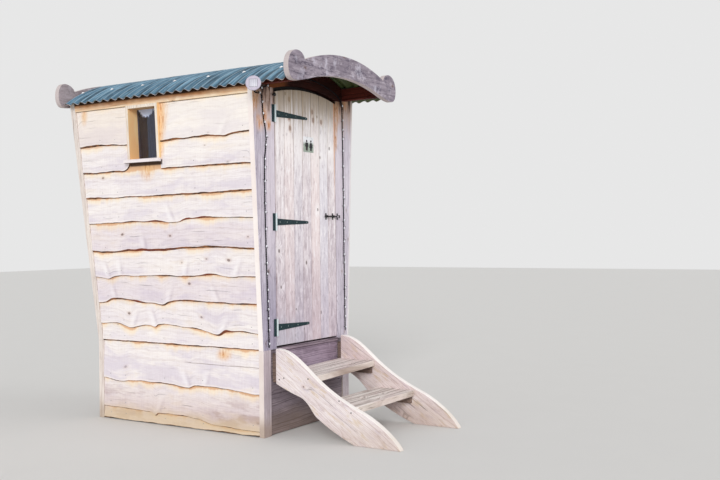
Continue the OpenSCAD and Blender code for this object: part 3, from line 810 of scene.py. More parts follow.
# %% Metal finishes
def worn_metal(name, base, worn, roughness, metallic):
    """Painted or bare metal, with seeded specks and patches where the surface has worn."""
    metal = Finish(name)
    patch = metal.cloud(metal.place, 22.0, 5.0, 0.65)
    speck = metal.cloud(metal.place, 240.0, 3.0, 0.6)
    mask = metal.grade(patch + speck * 0.35, 0.62, 0.86) * 0.5
    metal.colour = metal.mix(mask, base, worn)
    metal.stain(patch, 0.35, 0.65, 0.25, (150, 150, 150), "MULTIPLY")
    rough = roughness + mask * 0.2 + speck * 0.1
    return metal.close(rough, speck * 0.5 - mask * 0.4, 0.0004, {"Metallic": metallic})


zinc = worn_metal("dull_zinc", (172, 172, 174), (120, 112, 106), 0.45, 0.75)
black_iron = worn_metal("black_iron", (34, 34, 37), (92, 80, 74), 0.42, 0.5)
print("metals", zinc.name, black_iron.name)

# %% Nails
NAIL_UP = 0.042
LEAST_NAILED = 0.08
SIDE_STUDS = (0.02, 0.45, 0.80, 1.18, 1.33)
REAR_STUDS = (-0.42, 0.0, 0.42)
nails = Shape()


def nail(place, outward, s, foot, head):
    deep = face_depth(NAIL_UP / (head(s) - foot(s)))
    dome(nails, place(s, foot(s) + NAIL_UP, deep - 0.0002), outward, 0.0032, 0.0012, 8)


for span, foot, head, _ in boards:
    for s in SIDE_STUDS:
        low, high = sorted((span(0, 1.0), span(1, foot(s))))
        if low + 0.012 < s < high - 0.012 and head(s) - foot(s) > LEAST_NAILED:
            nail(on_side(-1), (-1, 0, 0), s, foot, head)
for place, outward, studs, rows in (
    (on_side(1), SIDEWAYS, SIDE_STUDS, right_rows),
    (on_rear, BACKWARDS, REAR_STUDS, rear_rows),
):
    for foot, head in rows:
        for s in studs:
            nail(place, outward, s, foot, head)
nails.piece("cladding_nails", zinc, "hut", "hinge_metal")

# %% [markdown]
# Straight-edged planks fill the front of the base, behind the steps. A plank is a box with
# its long edges eased, as planed wood has them.

# %% Planks of the base front
def plank(shape, low, high, ease=0.002, lengthwise=0, **marks):
    """Adds a plank between two corners, with its four long edges eased."""
    low, high = Vector(low), Vector(high)
    a, b = [i for i in range(3) if i != lengthwise]
    corners = ((0, 1), (0, 0), (0, 0), (1, 0), (1, 0), (1, 1), (1, 1), (0, 1))
    shifts = ((0, -1), (0, 1), (1, 0), (-1, 0), (0, 1), (0, -1), (-1, 0), (1, 0))
    rings = []
    for end in (low[lengthwise], high[lengthwise]):
        ring = []
        for (i, j), (da, db) in zip(corners, shifts):
            point = Vector()
            point[lengthwise] = end
            point[a] = (low, high)[i][a] + da * ease
            point[b] = (low, high)[j][b] + db * ease
            ring.append(point)
        rings.append(ring)
    shape.loft(rings, **marks)


# These planks are darker as painted shade under the steps.
shaded = Wood(
    "shaded_boards", SIDEWAYS, UPRIGHT, (152, 138, 146), (126, 113, 122), (98, 84, 88), rings=0.6
)
shaded.stain(shaded.reach(UPRIGHT) - shaded.wander() * 0.2, 0.12, -0.06, 0.5, (120, 100, 78))
RISER_LOW, RISER_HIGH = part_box("riser_panel")
INNER_EDGE = HALF_BASE - 0.080 - GAP
PLANK_SEAM = 0.268
base_front = Shape()
plank(base_front, (-INNER_EDGE, FRONT_Y + 0.010, LOWEST), (INNER_EDGE, FRAMING_Y, PLANK_SEAM), board=0.1)
upper_corner = (INNER_EDGE, FRAMING_Y, RISER_LOW.z - 0.001)
plank(base_front, (-INNER_EDGE, FRONT_Y + 0.004, PLANK_SEAM + 0.003), upper_corner, board=0.5)
for side in (-1, 1):
    inner, outer = sorted((side * (RISER_HIGH.x + GAP), side * INNER_EDGE))
    low, high = (inner, FRONT_Y + 0.006, RISER_LOW.z + 0.001), (outer, FRAMING_Y, FLOOR_Z - 0.001)
    plank(base_front, low, high, lengthwise=2, board=0.7)
base_front.piece("base_front_planks", shaded.done(), "hut", "dark_wood")

# %% [markdown]
# The rest of the hut is sawn and planed timber whose shape the frame already has. Such a
# part keeps its mesh and gets three modifiers: doubled points are welded, sharp edges are
# eased by a millimetre or two so that they catch the light, and the normals are weighted so
# that flat faces stay flat.

# %% Dress a frame part
def dress(finish, ease, *names):
    for name in names:
        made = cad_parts[name]
        for place in made.material_slots:
            place.material = finish
        if ease:
            made.modifiers.new("weld", "WELD").merge_threshold = 0.00005
            bevel = made.modifiers.new("eased_edges", "BEVEL")
            bevel.width = ease
            bevel.segments = 2
            bevel.limit_method = "ANGLE"
            bevel.angle_limit = math.radians(32)
            made.modifiers.new("flat_faces", "WEIGHTED_NORMAL").keep_sharp = True
    print(finish.name, "on", len(names), "parts")

# %% [markdown]
# The front stands under the porch. Its boards have gone lilac-grey, and the top hand's
# breadth, which rain never reaches, is still dark brown with resin, and nearly black at the
# very top with painted shadow under the roof. Below it brown streaks run down, and beside
# the string of lights knots have bled orange. The outer edges of the corner boards face the
# weather and are as pale as the side. Higher up, the door jambs are painted paler, as
# painted light against the porch's shadow.

# %% Front boards
front = Wood(
    "front_boards", UPRIGHT, SIDEWAYS, (226, 219, 229), (202, 193, 207), (140, 128, 142),
    knots=0.24, rings=0.55, grime=0.45,
)
height, across, ragged = front.reach(UPRIGHT), front.reach(SIDEWAYS), front.wander(2.5, 26.0)
streak, vein = front.wander(0.7, 60.0, 3.0, 0.6), front.wander(1.4, 150.0, 3.0, 0.65)
blot = front.wander(9.0, 34.0, 5.0, 0.7)
front.stain(across, 0.455, 0.460, 0.22, (240, 234, 241))
# The door jambs are painted paler higher up, as painted light against the porch's shadow.
jambs = front.grade(abs(across), 0.4535, 0.4525)
front.tint(jambs * front.grade(height, 0.9, 1.6) * 0.5, (232, 222, 230))
low_left = front.grade(height + ragged * 0.3, 1.45, 0.95) * front.grade(across, -0.34, -0.38)
front.tint(low_left * 0.72, (190, 188, 204), "MULTIPLY")
front.stain(vein, 0.52, 0.66, 0.35, (150, 138, 150), "MULTIPLY")
front.stain(height + streak * 0.50, 2.22, 2.50, 0.70, (192, 162, 138))
front.stain(height + blot * 0.50 + streak * 0.50 + vein * 0.50, 2.90, 3.04, 0.72, (136, 94, 66))
# Nearly black at the very top: painted shadow under the roof.
front.stain(height + blot * 0.70 + streak * 0.50 + vein * 0.50, 3.10, 3.19, 0.90, (40, 21, 18))
BLEEDS = [
    (-0.578, 2.200, 0.075, 0.60), (-0.522, 2.045, 0.062, 0.75), (-0.430, 2.040, 0.052, 0.80),
    (-0.470, 2.100, 0.045, 0.45), (0.374, 2.200, 0.080, 0.50), (0.368, 2.020, 0.030, 0.20),
    (0.500, 2.280, 0.055, 0.80),
]
drip = front.cloud(front.join(across * 120.0, height * 16.0), 1.0, 5.0, 0.7)
for x, z, reach, flat in BLEEDS:
    near = front.near((x, FRONT_Y, z), reach, flat)
    front.tint(near * front.grade(drip, 0.36, 0.54) * 0.80, (234, 184, 136))
    front.tint(near * front.grade(drip, 0.49, 0.58) * 0.85, (170, 100, 56))
outside = front.grade(abs(front.facing(SIDEWAYS)), 0.6, 0.9) * front.grade(abs(across), 0.49, 0.50)
front.tint(outside, front.mix(front.weather, (250, 242, 238), (243, 231, 226)))
to_edge = (height - FLOOR_Z) * SIDE_LEAN + HALF_BASE - across
front.stain(to_edge + ragged * 0.008, 0.024, 0.016, 0.5, (244, 240, 234))
dress(
    front.done(), 0.002, "front_corner_board_left", "front_corner_board_right",
    "door_jamb_left", "door_jamb_right",
)

# %% [markdown]
# The corner boards of the base are a little greyer, with pale outer edges. Their feet, like
# those at the rear, are browned by the earth that rain splashes up, so one function stains
# the foot of any timber.

# %% Corner boards of the base front
def earthy_foot(wood, colour):
    wood.stain(wood.reach(UPRIGHT) - wood.wander(6.0, 20.0) * 0.14, 0.12, -0.04, 0.6, colour)


low_front = Wood(
    "low_front_boards", UPRIGHT, SIDEWAYS, (212, 201, 207), (190, 177, 184), (144, 128, 136), knots=0.2
)
pale_edge = low_front.mix(low_front.weather, (240, 230, 225), (227, 214, 208))
low_front.tint(low_front.grade(abs(low_front.facing(SIDEWAYS)), 0.6, 0.9), pale_edge)
earthy_foot(low_front, (150, 124, 98))
dress(low_front.done(), 0.002, "lower_front_corner_boards")

# %% [markdown]
# The header over the door lies deepest in the porch's shade. It is nearly black, part dark
# stain and part painted shade, with an amber patch near its left end, and hardly shines.

# %% Header over the door
# Near-black: part dark stain and part painted shade.
header = Wood(
    "header_wood", SIDEWAYS, UPRIGHT, (66, 26, 17), (46, 18, 13), (120, 80, 66), knots=0.2, rings=0.6
)
amber = header.near((-0.36, FRONT_Y, 2.36), 0.26) + header.wander() * 0.3
header.stain(amber, 0.45, 0.95, 0.6, (146, 84, 44))
dress(header.done(shine=0.15), 0.002, "header_board")

# %% [markdown]
# The corner boards at the rear, the eave boards and the window's frame stand in full
# weather too, but they were fitted later and are warmer. The rear corner boards are cream,
# with brown feet. The eave boards are cream too, painted paler as painted light against the
# roof's shade, then tan, and at the top a nearly black band of painted shadow under the
# roof's edge. The window's frame turns orange in its reveal, which is painted paler as
# painted light, and its faces that look down get painted shade. The sill is painted dark
# below, as painted shade.

# %% Warm trim
rear_trim = Wood(
    "rear_trim", UPRIGHT, BACKWARDS, (244, 236, 229), (230, 220, 214), (196, 178, 164),
    knots=0.0, rings=0.45,
)
earthy_foot(rear_trim, (158, 132, 104))
dress(rear_trim.done(), 0.002, "rear_corner_boards", "lower_rear_corner_boards")

# The eave boards' cream is painted paler, as painted light against the roof's shade.
eave_trim = Wood(
    "eave_trim", BACKWARDS, UPRIGHT, (255, 241, 218), (251, 228, 196), (228, 190, 150),
    knots=0.25, rings=0.4, fine=70.0,
)
height, ragged = eave_trim.reach(UPRIGHT), eave_trim.wander()
eave_trim.stain(height + ragged * 0.05, 2.258, 2.306, 0.85, (208, 132, 74))
# A nearly black band of painted shadow under the roof's edge.
eave_trim.stain(height + ragged * 0.01, 2.272, 2.287, 0.95, (24, 12, 8))
dress(eave_trim.done(shine=0.2), 0.0015, "eave_boards")

window_trim = Wood(
    "window_trim", UPRIGHT, BACKWARDS, (250, 243, 232), (238, 226, 212), (206, 178, 150), knots=0.1
)
reveal_wood = window_trim.mix(window_trim.weather, (255, 226, 172), (255, 206, 148))
# The orange reveal is painted paler, as painted light.
window_trim.tint(window_trim.grade(abs(window_trim.facing(SIDEWAYS)), 0.60, 0.30), reveal_wood)
# Faces that look down are darkened as painted shade.
window_trim.stain(window_trim.facing(UPRIGHT), -0.6, -0.9, 0.6, (128, 96, 84))
dress(window_trim.done(), 0.0015, "window_frame")

sill_trim = Wood(
    "sill_trim", BACKWARDS, UPRIGHT, (252, 247, 248), (243, 235, 237), (206, 190, 186), rings=0.3
)
# The sill's underside is painted dark as painted shade.
sill_trim.stain(sill_trim.facing(UPRIGHT), -0.5, -0.9, 0.92, (52, 26, 20))
dress(sill_trim.done(), 0.002, "window_sill")

# %% [markdown]
# The glass is a plain pane with a faint blue cast. It is left clear, so what darkens it is
# the unlit room behind, and it shows the pale surroundings where they are reflected. Under
# the head, a pale blue film with a ragged lower edge is a painted reflection of the sky.

# %% Glass
pane = Finish("window_pane")
height, back = pane.reach(UPRIGHT), pane.reach(BACKWARDS)
smear = pane.cloud(pane.place, 14.0, 4.0, 0.6)
pane.colour = pane.mix(smear, (130, 142, 212), (160, 170, 226))
clear = {"Transmission Weight": 1.0, "IOR": 1.55}
glass = pane.surface(pane.grade(smear, 0.45, 0.9) * 0.08 + 0.02, sockets=clear)
ragged = pane.cloud(pane.join(back * 55.0, height * 20.0), 1.0, 4.0, 0.65)
PANE_MIDDLE_Y, REFLECTION_FOOT_Z = 0.940, 2.206
lower_edge = pane.grade(abs(back - PANE_MIDDLE_Y), 0.032, 0.080) * 0.048 + REFLECTION_FOOT_Z
# A pale blue painted reflection of the sky under the head of the pane.
painted_sky_reflection = pane.grade(height + ragged * 0.10 - lower_edge, 0.000, 0.012)
painted_sky = pane.node("ShaderNodeBsdfDiffuse", {}, {"Color": paint(212, 226, 255)})
pane_and_sky = pane.node("ShaderNodeMixShader", {}, {0: painted_sky_reflection * 0.90 + 0.014, 1: glass, 2: painted_sky})
pane.node("ShaderNodeOutputMaterial", {}, {"Surface": pane_and_sky})
dress(pane.material, 0, "window_glass")

# %% [markdown]
# Inside, the studs are lined with upright pine boards with a fine groove between them, and
# the floor is of wider boards. Both have kept the honey colour of indoor wood. Outside, the
# same walls are painted black-brown as painted shade, which shows only in the gaps of the
# cladding and over the door.

# %% Lining and floor
ROOM_MIDDLE_Y = 0.70
PINE = (226, 196, 156), (208, 176, 136), (176, 132, 92)
DECK = (190, 160, 128), (168, 140, 112), (130, 100, 76)
LINING_PITCH, DECK_PITCH = 0.095, 0.140


def lined(name, grain, across, colours, pitch):
    wood = Wood(name, grain, across, *colours)
    groove = wood.grade(abs((wood.side % pitch) - pitch / 2), pitch / 2 - 0.004, pitch / 2 - 0.001)
    wood.tint(groove * 0.8, (96, 68, 48))
    wood.height = wood.height - groove * 2.0
    return wood


def wall_lining(name, across, through, middle):
    """Pine boards on a wall's inner side, and near-black painted shade on the side away from the room."""
    wood = lined(name, UPRIGHT, across, PINE, LINING_PITCH)
    outwards = wood.facing(through) * (wood.reach(through) - middle)
    # The side away from the room is near-black painted shade.
    wood.tint(wood.grade(outwards, 0.08, 0.16), (17, 12, 11))
    return wood.done()


side_lining = wall_lining("side_lining", BACKWARDS, SIDEWAYS, 0.0)
end_lining = wall_lining("end_lining", SIDEWAYS, BACKWARDS, ROOM_MIDDLE_Y)
dress(side_lining, 0, "left_wall", "right_wall", "base_left_wall", "base_right_wall")
dress(
    end_lining, 0, "rear_wall", "front_wall_left", "front_wall_right", "front_wall_head",
    "base_rear_wall", "base_front_wall",
)
dress(lined("floor_boards", BACKWARDS, SIDEWAYS, DECK, DECK_PITCH).done(), 0.001, "floor_deck")

# %% [markdown]
# The riser fills the front of the base between the stringers, and the sill lies over it
# under the door. Both are lilac-grey with strong grain. The riser is scuffed pale by shoes.

# %% Sill and riser
riser = Wood(
    "riser_wood", SIDEWAYS, UPRIGHT, (172, 154, 172), (142, 124, 141), (112, 95, 111), knots=0.2, rings=0.7
)
scuff = riser.cloud(riser.join(riser.reach(SIDEWAYS) * 18.0, riser.reach(UPRIGHT) * 5.0), 1.0, 4.0)
riser.stain(scuff, 0.60, 0.72, 0.4, (206, 196, 204))
dress(riser.done(), 0.002, "riser_panel")
threshold = Wood(
    "threshold_wood", SIDEWAYS, UPRIGHT, (166, 148, 160), (138, 121, 133), (96, 82, 92), rings=0.7
)
dress(threshold.done(), 0.002, "door_sill")

# %% [markdown]
# The door is of seven upright boards whose edges are eased, so thin dark lines part them,
# with ledges and braces behind. Each board is a loft from the bottom to the door's arch,
# and each carries its own number, so that its grain differs from its neighbour's. Brown
# streaks run down from the arch, partly stain and partly painted shade under the header,
# orange ones down the lock side, and the foot is bluish. The upper door is painted paler,
# as painted light against the porch's shadow.
# Six knots near the top are placed where they were seen, and the others fall by chance.

# %% Door finish
DOOR_LOW, DOOR_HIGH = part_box("door_leaf")
BOARDS = 7
BOARD_W = (DOOR_HIGH.x - DOOR_LOW.x) / BOARDS
LOCK_EDGE_X = 0.351
DOOR_KNOTS = [
    (-0.201, 2.107), (0.083, 2.119), (0.182, 2.115), (-0.199, 2.232), (-0.191, 2.038), (0.072, 2.174),
]
door = Wood(
    "door_wood", UPRIGHT, SIDEWAYS, (248, 240, 242), (222, 212, 218), (156, 136, 142),
    knots=0.40, grime=0.40,
)
height, across = door.reach(UPRIGHT), door.reach(SIDEWAYS)
streak, thin = door.wander(0.5, 60.0, 3.0, 0.6), door.wander(0.8, 190.0, 2.0, 0.6)
flecks = door.wander(11.0, 44.0, 5.0, 0.7)
warm_boards = door.grade(door.board, 0.40, 0.52) * door.grade(door.board, 0.72, 0.60)
door.tint(warm_boards * 0.6, (240, 224, 222))
door.stain(door.board, 0.80, 0.90, 0.5, (226, 226, 236))
door.tint(door.flame * 0.45, (252, 248, 250))
# The upper door is painted paler, as painted light against the porch's shadow.
door.stain(height, 1.60, 2.00, 0.60, (255, 250, 248))
door.stain(flecks, 0.52, 0.62, 0.60, (254, 250, 252))
door.stain(flecks, 0.45, 0.37, 0.42, (180, 166, 174), "MULTIPLY")
brown_lines = door.grade(thin + streak * 0.5, 0.84, 0.98) * door.grade(height, 1.3, 2.0)
door.tint(brown_lines * 0.22, (172, 142, 124))
door.tint(door.knot * 0.7, (74, 54, 50))
for x, z in DOOR_KNOTS:
    near = door.near((x, FRONT_Y, z), 0.034, 0.65) + door.wander(16.0, 70.0) * 0.30
    door.stain(near, 0.35, 0.70, 0.40, (214, 186, 168), "MULTIPLY")
    door.stain(near, 0.78, 0.95, 0.70, (122, 88, 72))
# Towards the arch the boards turn tan and brown, partly stain and partly painted shade under the header.
door.stain(height + streak * 0.60, 2.36, 2.64, 0.62, (242, 220, 188))
door.stain(height + streak * 0.30, 2.40, 2.48, 0.30, (186, 152, 114))
door.stain(height + streak * 0.60 + thin * 0.50, 2.62, 2.76, 0.45, (130, 104, 70))
door.stain(height, 1.45, 0.65, 0.66, (208, 198, 210), "MULTIPLY")
off_middle = abs(((across - DOOR_LOW.x) % BOARD_W) - BOARD_W / 2)
seam = door.grade(off_middle, BOARD_W / 2 - 0.0055, BOARD_W / 2 - 0.0010)
door.tint(seam * (door.grade(height + streak * 0.5, 1.6, 2.5) * 0.30 + 0.20), (120, 90, 70))
blue_foot = door.grade(height + streak * 0.30, 1.00, 0.72) * door.grade(across, 0.05, -0.20)
door.tint(blue_foot * 0.45, (182, 186, 200))
lock_side = door.grade(abs(across - LOCK_EDGE_X + streak * 0.006), 0.013, 0.004)
door.tint(lock_side * door.grade(height, 1.45, 2.15) * 0.85, (214, 146, 90))
door_finish = door.done()
print("door boards", round(BOARD_W, 4), "m wide")

# %% Door boards
DOOR_ARCH_R = 1.462
DOOR_AXIS_Z = DOOR_HIGH.z - DOOR_ARCH_R
EASE = 0.0016
STEPS_ACROSS = 8
DOOR_RISES = (0.0, 0.0012, 0.25, 0.5, 0.75, 0.9975, 1.0)


def board_outline(x0, x1, pull):
    """A board's outline from above, with its front edges eased and its ends pulled in."""
    face, back, wide = DOOR_LOW.y, DOOR_HIGH.y, x1 - x0
    eased = face + EASE * 0.5 + pull * 0.5
    steps = [k / STEPS_ACROSS for k in range(1, STEPS_ACROSS + 1)]
    outline = [(x0 + EASE, face + pull)]
    outline += [(x1 - EASE - (wide - 2 * EASE) * (1 - t), face + pull) for t in steps]
    outline += [(x1 - 0.0008, eased), (x1, face + EASE * 1.6), (x1, back)]
    outline += [(x1 - wide * t, back) for t in steps]
    return outline + [(x0, face + EASE * 1.6), (x0 + 0.0008, eased)]


def door_point(x, y, rise):
    top = DOOR_AXIS_Z + math.sqrt(DOOR_ARCH_R ** 2 - x ** 2)
    return Vector((x, y, DOOR_LOW.z + (top - DOOR_LOW.z) * rise))


door_boards = Shape()
for i in range(BOARDS):
    x0 = DOOR_LOW.x + i * BOARD_W + 0.0003
    x1 = x0 + BOARD_W - 0.0006
    rings = []
    for rise in DOOR_RISES:
        outline = board_outline(x0, x1, EASE if rise in (0.0, 1.0) else 0.0)
        rings.append([door_point(x, y, rise) for x, y in outline])
    door_boards.loft(rings, board=(i * 0.37 + 0.11) % 1.0)
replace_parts(door_boards.piece("door_boards", door_finish, "door", "door_wood", sharp=25), "door_leaf")
dress(Wood("door_ledges", SIDEWAYS, UPRIGHT, *PINE).done(), 0.003, "door_ledges")

# %% [markdown]
# The roof is three curved corrugated sheets, painted teal outside and a duller green
# below, darkened further as painted shade. The middle one laps over both its neighbours by
# three quarters of a wave. The frame has them with few faces, so finer ones stand in at the
# same radius, pitch and depth: a wave is a cosine that is swept round the roof's arc. The
# height in the wave is kept as a mark, because the crests get a pale painted highlight and
# the valleys a dark painted shade.

# %% Roof paint
roof = Finish("roof_paint")
crest, y, x = roof.mark("crest"), roof.reach(BACKWARDS), roof.reach(SIDEWAYS)
streaks = roof.cloud(roof.join(y * 26.0, x * 2.2), 1.0, 4.0, 0.6)
patch = roof.cloud(roof.place, 3.4, 4.0, 0.6)
fine = roof.cloud(roof.join(y * 56.0, x * 3.0), 1.0, 4.0, 0.7)
roof.colour = roof.mix(patch, (64, 104, 128), (86, 124, 148))
roof.stain(fine, 0.51, 0.61, 0.60, (138, 176, 198))
roof.stain(fine, 0.49, 0.38, 0.85, (24, 50, 64))
# Painted shade in the valleys.
roof.stain(crest, 0.60, 0.05, 0.60, (30, 52, 66))
# A pale painted highlight on the crests.
roof.stain(crest, 0.92, 1.0, 0.50, (176, 204, 222))
roof.stain(streaks, 0.55, 0.72, 0.22, (146, 168, 172))
# The green underside is darkened as painted shade.
roof.tint(roof.grade(roof.facing(UPRIGHT), 0.1, -0.1), roof.mix(patch, (78, 92, 48), (54, 64, 33)))
roof.tint(roof.mark("cut"), roof.mix(crest, (224, 200, 190), (126, 124, 128)))
roof_finish = roof.close(streaks * 0.2 + 0.40, streaks, 0.0004)
print(roof_finish.name, "has", len(roof.tree.nodes), "nodes")

# %% Corrugated sheets
WAVE_PITCH = 0.0762
WAVE_DEPTH = 0.018
SHEET_T = 0.0012
ROOF_R = 1.111
REAR_CREST_Y = REAR_BASE_Y + 0.148
LEFT_EAVE, RIGHT_EAVE = (math.asin(corner.x / ROOF_R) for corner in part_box("roof_sheet_rear"))
SEGMENTS_A_WAVE = 12
ARC_STEPS = 72
CUT = 0.0016
CUT_PLACES = [0.0, CUT, CUT + 0.0003]
INNER_PLACES = [k / ARC_STEPS for k in range(1, ARC_STEPS)]
ARC_PLACES = CUT_PLACES + INNER_PLACES + [1 - place for place in reversed(CUT_PLACES)]


def on_roof(angle, y, r):
    return Vector((r * math.sin(angle), y, ROOF_AXIS_Z + r * math.cos(angle)))


def corrugated(name, first, last, lift):
    """A sheet between two places counted in waves forwards from the rear crest."""
    steps = round((last - first) * SEGMENTS_A_WAVE)
    profile = []
    for i in range(steps + 1):
        turn = first + (last - first) * i / steps
        cosine = math.cos(2 * math.pi * turn)
        r = ROOF_R - WAVE_DEPTH / 2 * (1 - cosine) + lift
        profile.append((REAR_CREST_Y - turn * WAVE_PITCH, r, cosine))
    outline = profile + [(y, r - SHEET_T, c) for y, r, c in reversed(profile)]
    rings = []
    for share in ARC_PLACES:
        angle = LEFT_EAVE + (RIGHT_EAVE - LEFT_EAVE) * share
        rings.append([on_roof(angle, y, r) for y, r, _ in outline])
    sheet = Shape()
    crest = [0.5 + 0.5 * c for _ in rings for _, _, c in outline]
    cut = [float(min(share, 1 - share) < CUT + 0.0001) for share in ARC_PLACES for _ in outline]
    sheet.loft(rings, crest=crest, cut=cut)
    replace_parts(sheet.piece(f"fine_{name}", roof_finish, "hut", "roof_metal", sharp=50), name)


corrugated("roof_sheet_front", 16.75, 25.75, 0.0)
corrugated("roof_sheet_middle", 8.5, 17.5, SHEET_T)
corrugated("roof_sheet_rear", -0.5, 9.25, 0.0)

# %% [markdown]
# Roofing screws go through the crests into the purlins, every fourth wave, each with a wide
# sealing washer under a domed head. Along the crown, where the sheet lies flat, they are
# driven in until hardly more than the washer stands up.

# %% Roofing screws
SCREW_ROWS = 7
MIDDLE_ROWS = (3, 4)
screws = Shape()
for i in range(SCREW_ROWS):
    y = REAR_CREST_Y - 4 * i * WAVE_PITCH
    crest_r = ROOF_R + (SHEET_T if i in MIDDLE_ROWS else 0.0)
    for x, tall in ((-0.500, 0.0070), (0.0, 0.0016), (0.500, 0.0070)):
        out = Vector((x, 0, math.sqrt(ROOF_R ** 2 - x ** 2))) / ROOF_R
        at = Vector((0, y, ROOF_AXIS_Z)) + out * (crest_r - 0.0002)
        dome(screws, at, out, 0.0065, tall, washer=0.013)
pale_zinc = worn_metal("pale_zinc", (246, 246, 248), (206, 204, 204), 0.40, 0.10)
screws.piece("roof_screws", pale_zinc, "hut", "hinge_metal")

# %% [markdown]
# The purlins are a dark red-brown, part stain and part painted shade under the porch, and
# carry the porch. The fascias in front of and behind the roof are one wide plank each, sawn
# to an arc with a scroll at both ends. Their faces have gone a mottled purple-grey, and the
# sawn edges are pale.

# %% Purlins and fascias
# The purlins' dark red-brown is part stain and part painted shade under the porch.
purlin = Wood(
    "purlin_wood", BACKWARDS, UPRIGHT, (104, 46, 36), (80, 32, 27), (84, 44, 38), knots=0.2, rings=0.6
)
dress(purlin.done(shine=0.15), 0.003, "roof_purlins")
fascia = Wood(
    "fascia_wood", SIDEWAYS, UPRIGHT, (170, 159, 171), (140, 129, 142), (104, 92, 104),
    rings=0.30, fine=55.0, grime=0.25,
)
mottle, washed = fascia.wander(9.0, 24.0, 6.0, 0.72), fascia.wander(15.0, 8.0, 5.0, 0.65)
fascia.stain(mottle, 0.515, 0.61, 0.80, (84, 76, 94))
fascia.stain(mottle, 0.46, 0.38, 0.50, (198, 188, 198))
fascia.stain(washed, 0.54, 0.64, 0.50, (208, 204, 218))
fascia.stain(fascia.reach(SIDEWAYS), -0.20, -0.62, 0.6, (206, 202, 208), "MULTIPLY")
fascia.stain(fascia.reach(BACKWARDS), 0.8, 1.0, 0.40, (194, 178, 174))
fascia.stain(abs(fascia.facing(BACKWARDS)), 0.80, 0.40, 0.8, (206, 194, 192))
dress(fascia.done(), 0.004, "front_fascia", "rear_fascia")

# %% [markdown]
# The steps are the palest new wood on the front: two thick planks sawn to a long S, with
# the grain along the slope, and two treads between them on cleats. Their edges are well
# rounded by feet and hands. Each tread's front is rough and shows deep grain.

# %% Stringers
SLOPE = Vector((0, 0.84, 0.54)).normalized()
ACROSS_SLOPE = Vector((0, -0.54, 0.84)).normalized()
stringer = Wood(
    "stringer_wood", SLOPE, ACROSS_SLOPE, (246, 238, 238), (231, 219, 220), (180, 154, 142),
    knots=0.36, rings=0.32, grime=0.38,
)
spots, outwards = stringer.wander(7.0, 26.0, 5.0, 0.65), stringer.facing(SIDEWAYS)
stringer.stain(spots, 0.54, 0.66, 0.60, (212, 190, 160))
stringer.stain(spots, 0.44, 0.34, 0.50, (204, 192, 204))
# The stringers' inner faces get painted shade.
stringer.stain(outwards * stringer.reach(SIDEWAYS), -0.10, -0.30, 0.30, (226, 208, 200), "MULTIPLY")
# Their narrow faces and edges get a pale painted highlight.
stringer.stain(abs(outwards), 0.75, 0.35, 0.80, (252, 247, 243))
damp = stringer.reach(UPRIGHT) - stringer.wander(4.0, 12.0) * 0.20
stringer.stain(damp, 0.10, -0.08, 0.30, (176, 152, 124))
dress(stringer.done(), 0.005, "left_stringer", "right_stringer")

# %% Treads, cleats and their screws
tread = Wood(
    "tread_wood", SIDEWAYS, BACKWARDS, (255, 248, 243), (242, 227, 223), (116, 94, 82),
    knots=0.35, rings=0.75, fine=70.0, grime=0.08,
)
tread.stain(tread.wander(0.7, 60.0, 2.0, 0.6), 0.52, 0.64, 0.72, (132, 106, 92), "MULTIPLY")
tread.stain(tread.wander(2.4, 9.0, 4.0, 0.6), 0.54, 0.68, 0.45, (160, 142, 134), "MULTIPLY")
tread_front = tread.grade(tread.facing(BACKWARDS), -0.5, -0.9)
tread.tint(tread_front * 0.35, (176, 154, 134))
rough_lines = tread.cloud(tread.join(tread.along * 6.0, tread.reach(UPRIGHT) * 90.0), 1.0, 3.0)
tread.tint(tread.grade(rough_lines, 0.55, 0.70) * tread_front * 0.6, (104, 84, 66))
dress(tread.done(0.0018), 0.004, "upper_tread", "lower_tread")
cleat = Wood("cleat_wood", BACKWARDS, UPRIGHT, (146, 124, 112), (120, 100, 92), (88, 70, 62), rings=0.7)
dress(cleat.done(), 0.002, "step_cleats")

STEP_SCREWS = [(-0.126, 0.372), (-0.162, 0.384), (-0.354, 0.392), (-0.590, 0.270), (-0.678, 0.203)]
STRINGER_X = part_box("left_stringer")[0].x
step_screws = Shape()
for y, z in STEP_SCREWS:
    for side in (-1, 1):
        dome(step_screws, (-side * STRINGER_X, y, z), (side, 0, 0), 0.0045, 0.0016)
step_screws.piece("step_screws", black_iron, "hut", "step_wood")

# %% [markdown]
# The hinges are strap hinges in dark green paint, with the barrel worn to bare metal and
# painted paler still as a painted reflection. Wide-headed screws, worn dull, hold the straps
# to the door's boards; the plates' own screws are painted with the hinges. The bolt and its
# keeper are black iron. Small zinc screws hold the bolt, and two that were painted green
# hold the keeper.

# %% Hinges and bolt
HINGE_X = -0.363
HINGE_Z = (0.705, 1.402, 2.119)
FORWARDS = (0, -1, 0)
hinge = Finish("hinge_paint")
wear = hinge.cloud(hinge.place, 160.0, 4.0, 0.6)
rust = hinge.cloud(hinge.place, 38.0, 5.0, 0.65)
hinge.colour = hinge.mix(hinge.grade(rust, 0.5, 0.7) * 0.5, (11, 40, 46), (30, 62, 68))
hinge.stain(wear, 0.60, 0.70, 0.45, (140, 160, 154))
barrel = hinge.grade(abs(hinge.reach(SIDEWAYS) - HINGE_X), 0.0085, 0.0065)
barrel = barrel * hinge.grade(hinge.reach(BACKWARDS), FRONT_Y - 0.0032, FRONT_Y - 0.0042)
# The bare barrel is painted paler still, as a painted reflection.
hinge.tint(barrel * 0.85, hinge.mix(wear, (236, 246, 248), (196, 212, 216)))
bright = {"Metallic": barrel * 0.25, "Specular IOR Level": 0.25}
hinge_finish = hinge.close(wear * 0.3 + 0.40, wear, 0.0003, bright)
dress(hinge_finish, 0.0006, "hinge_plates", "hinge_straps")
dress(black_iron, 0.0008, "bolt_keeper", "bolt_guides", "bolt_rod")

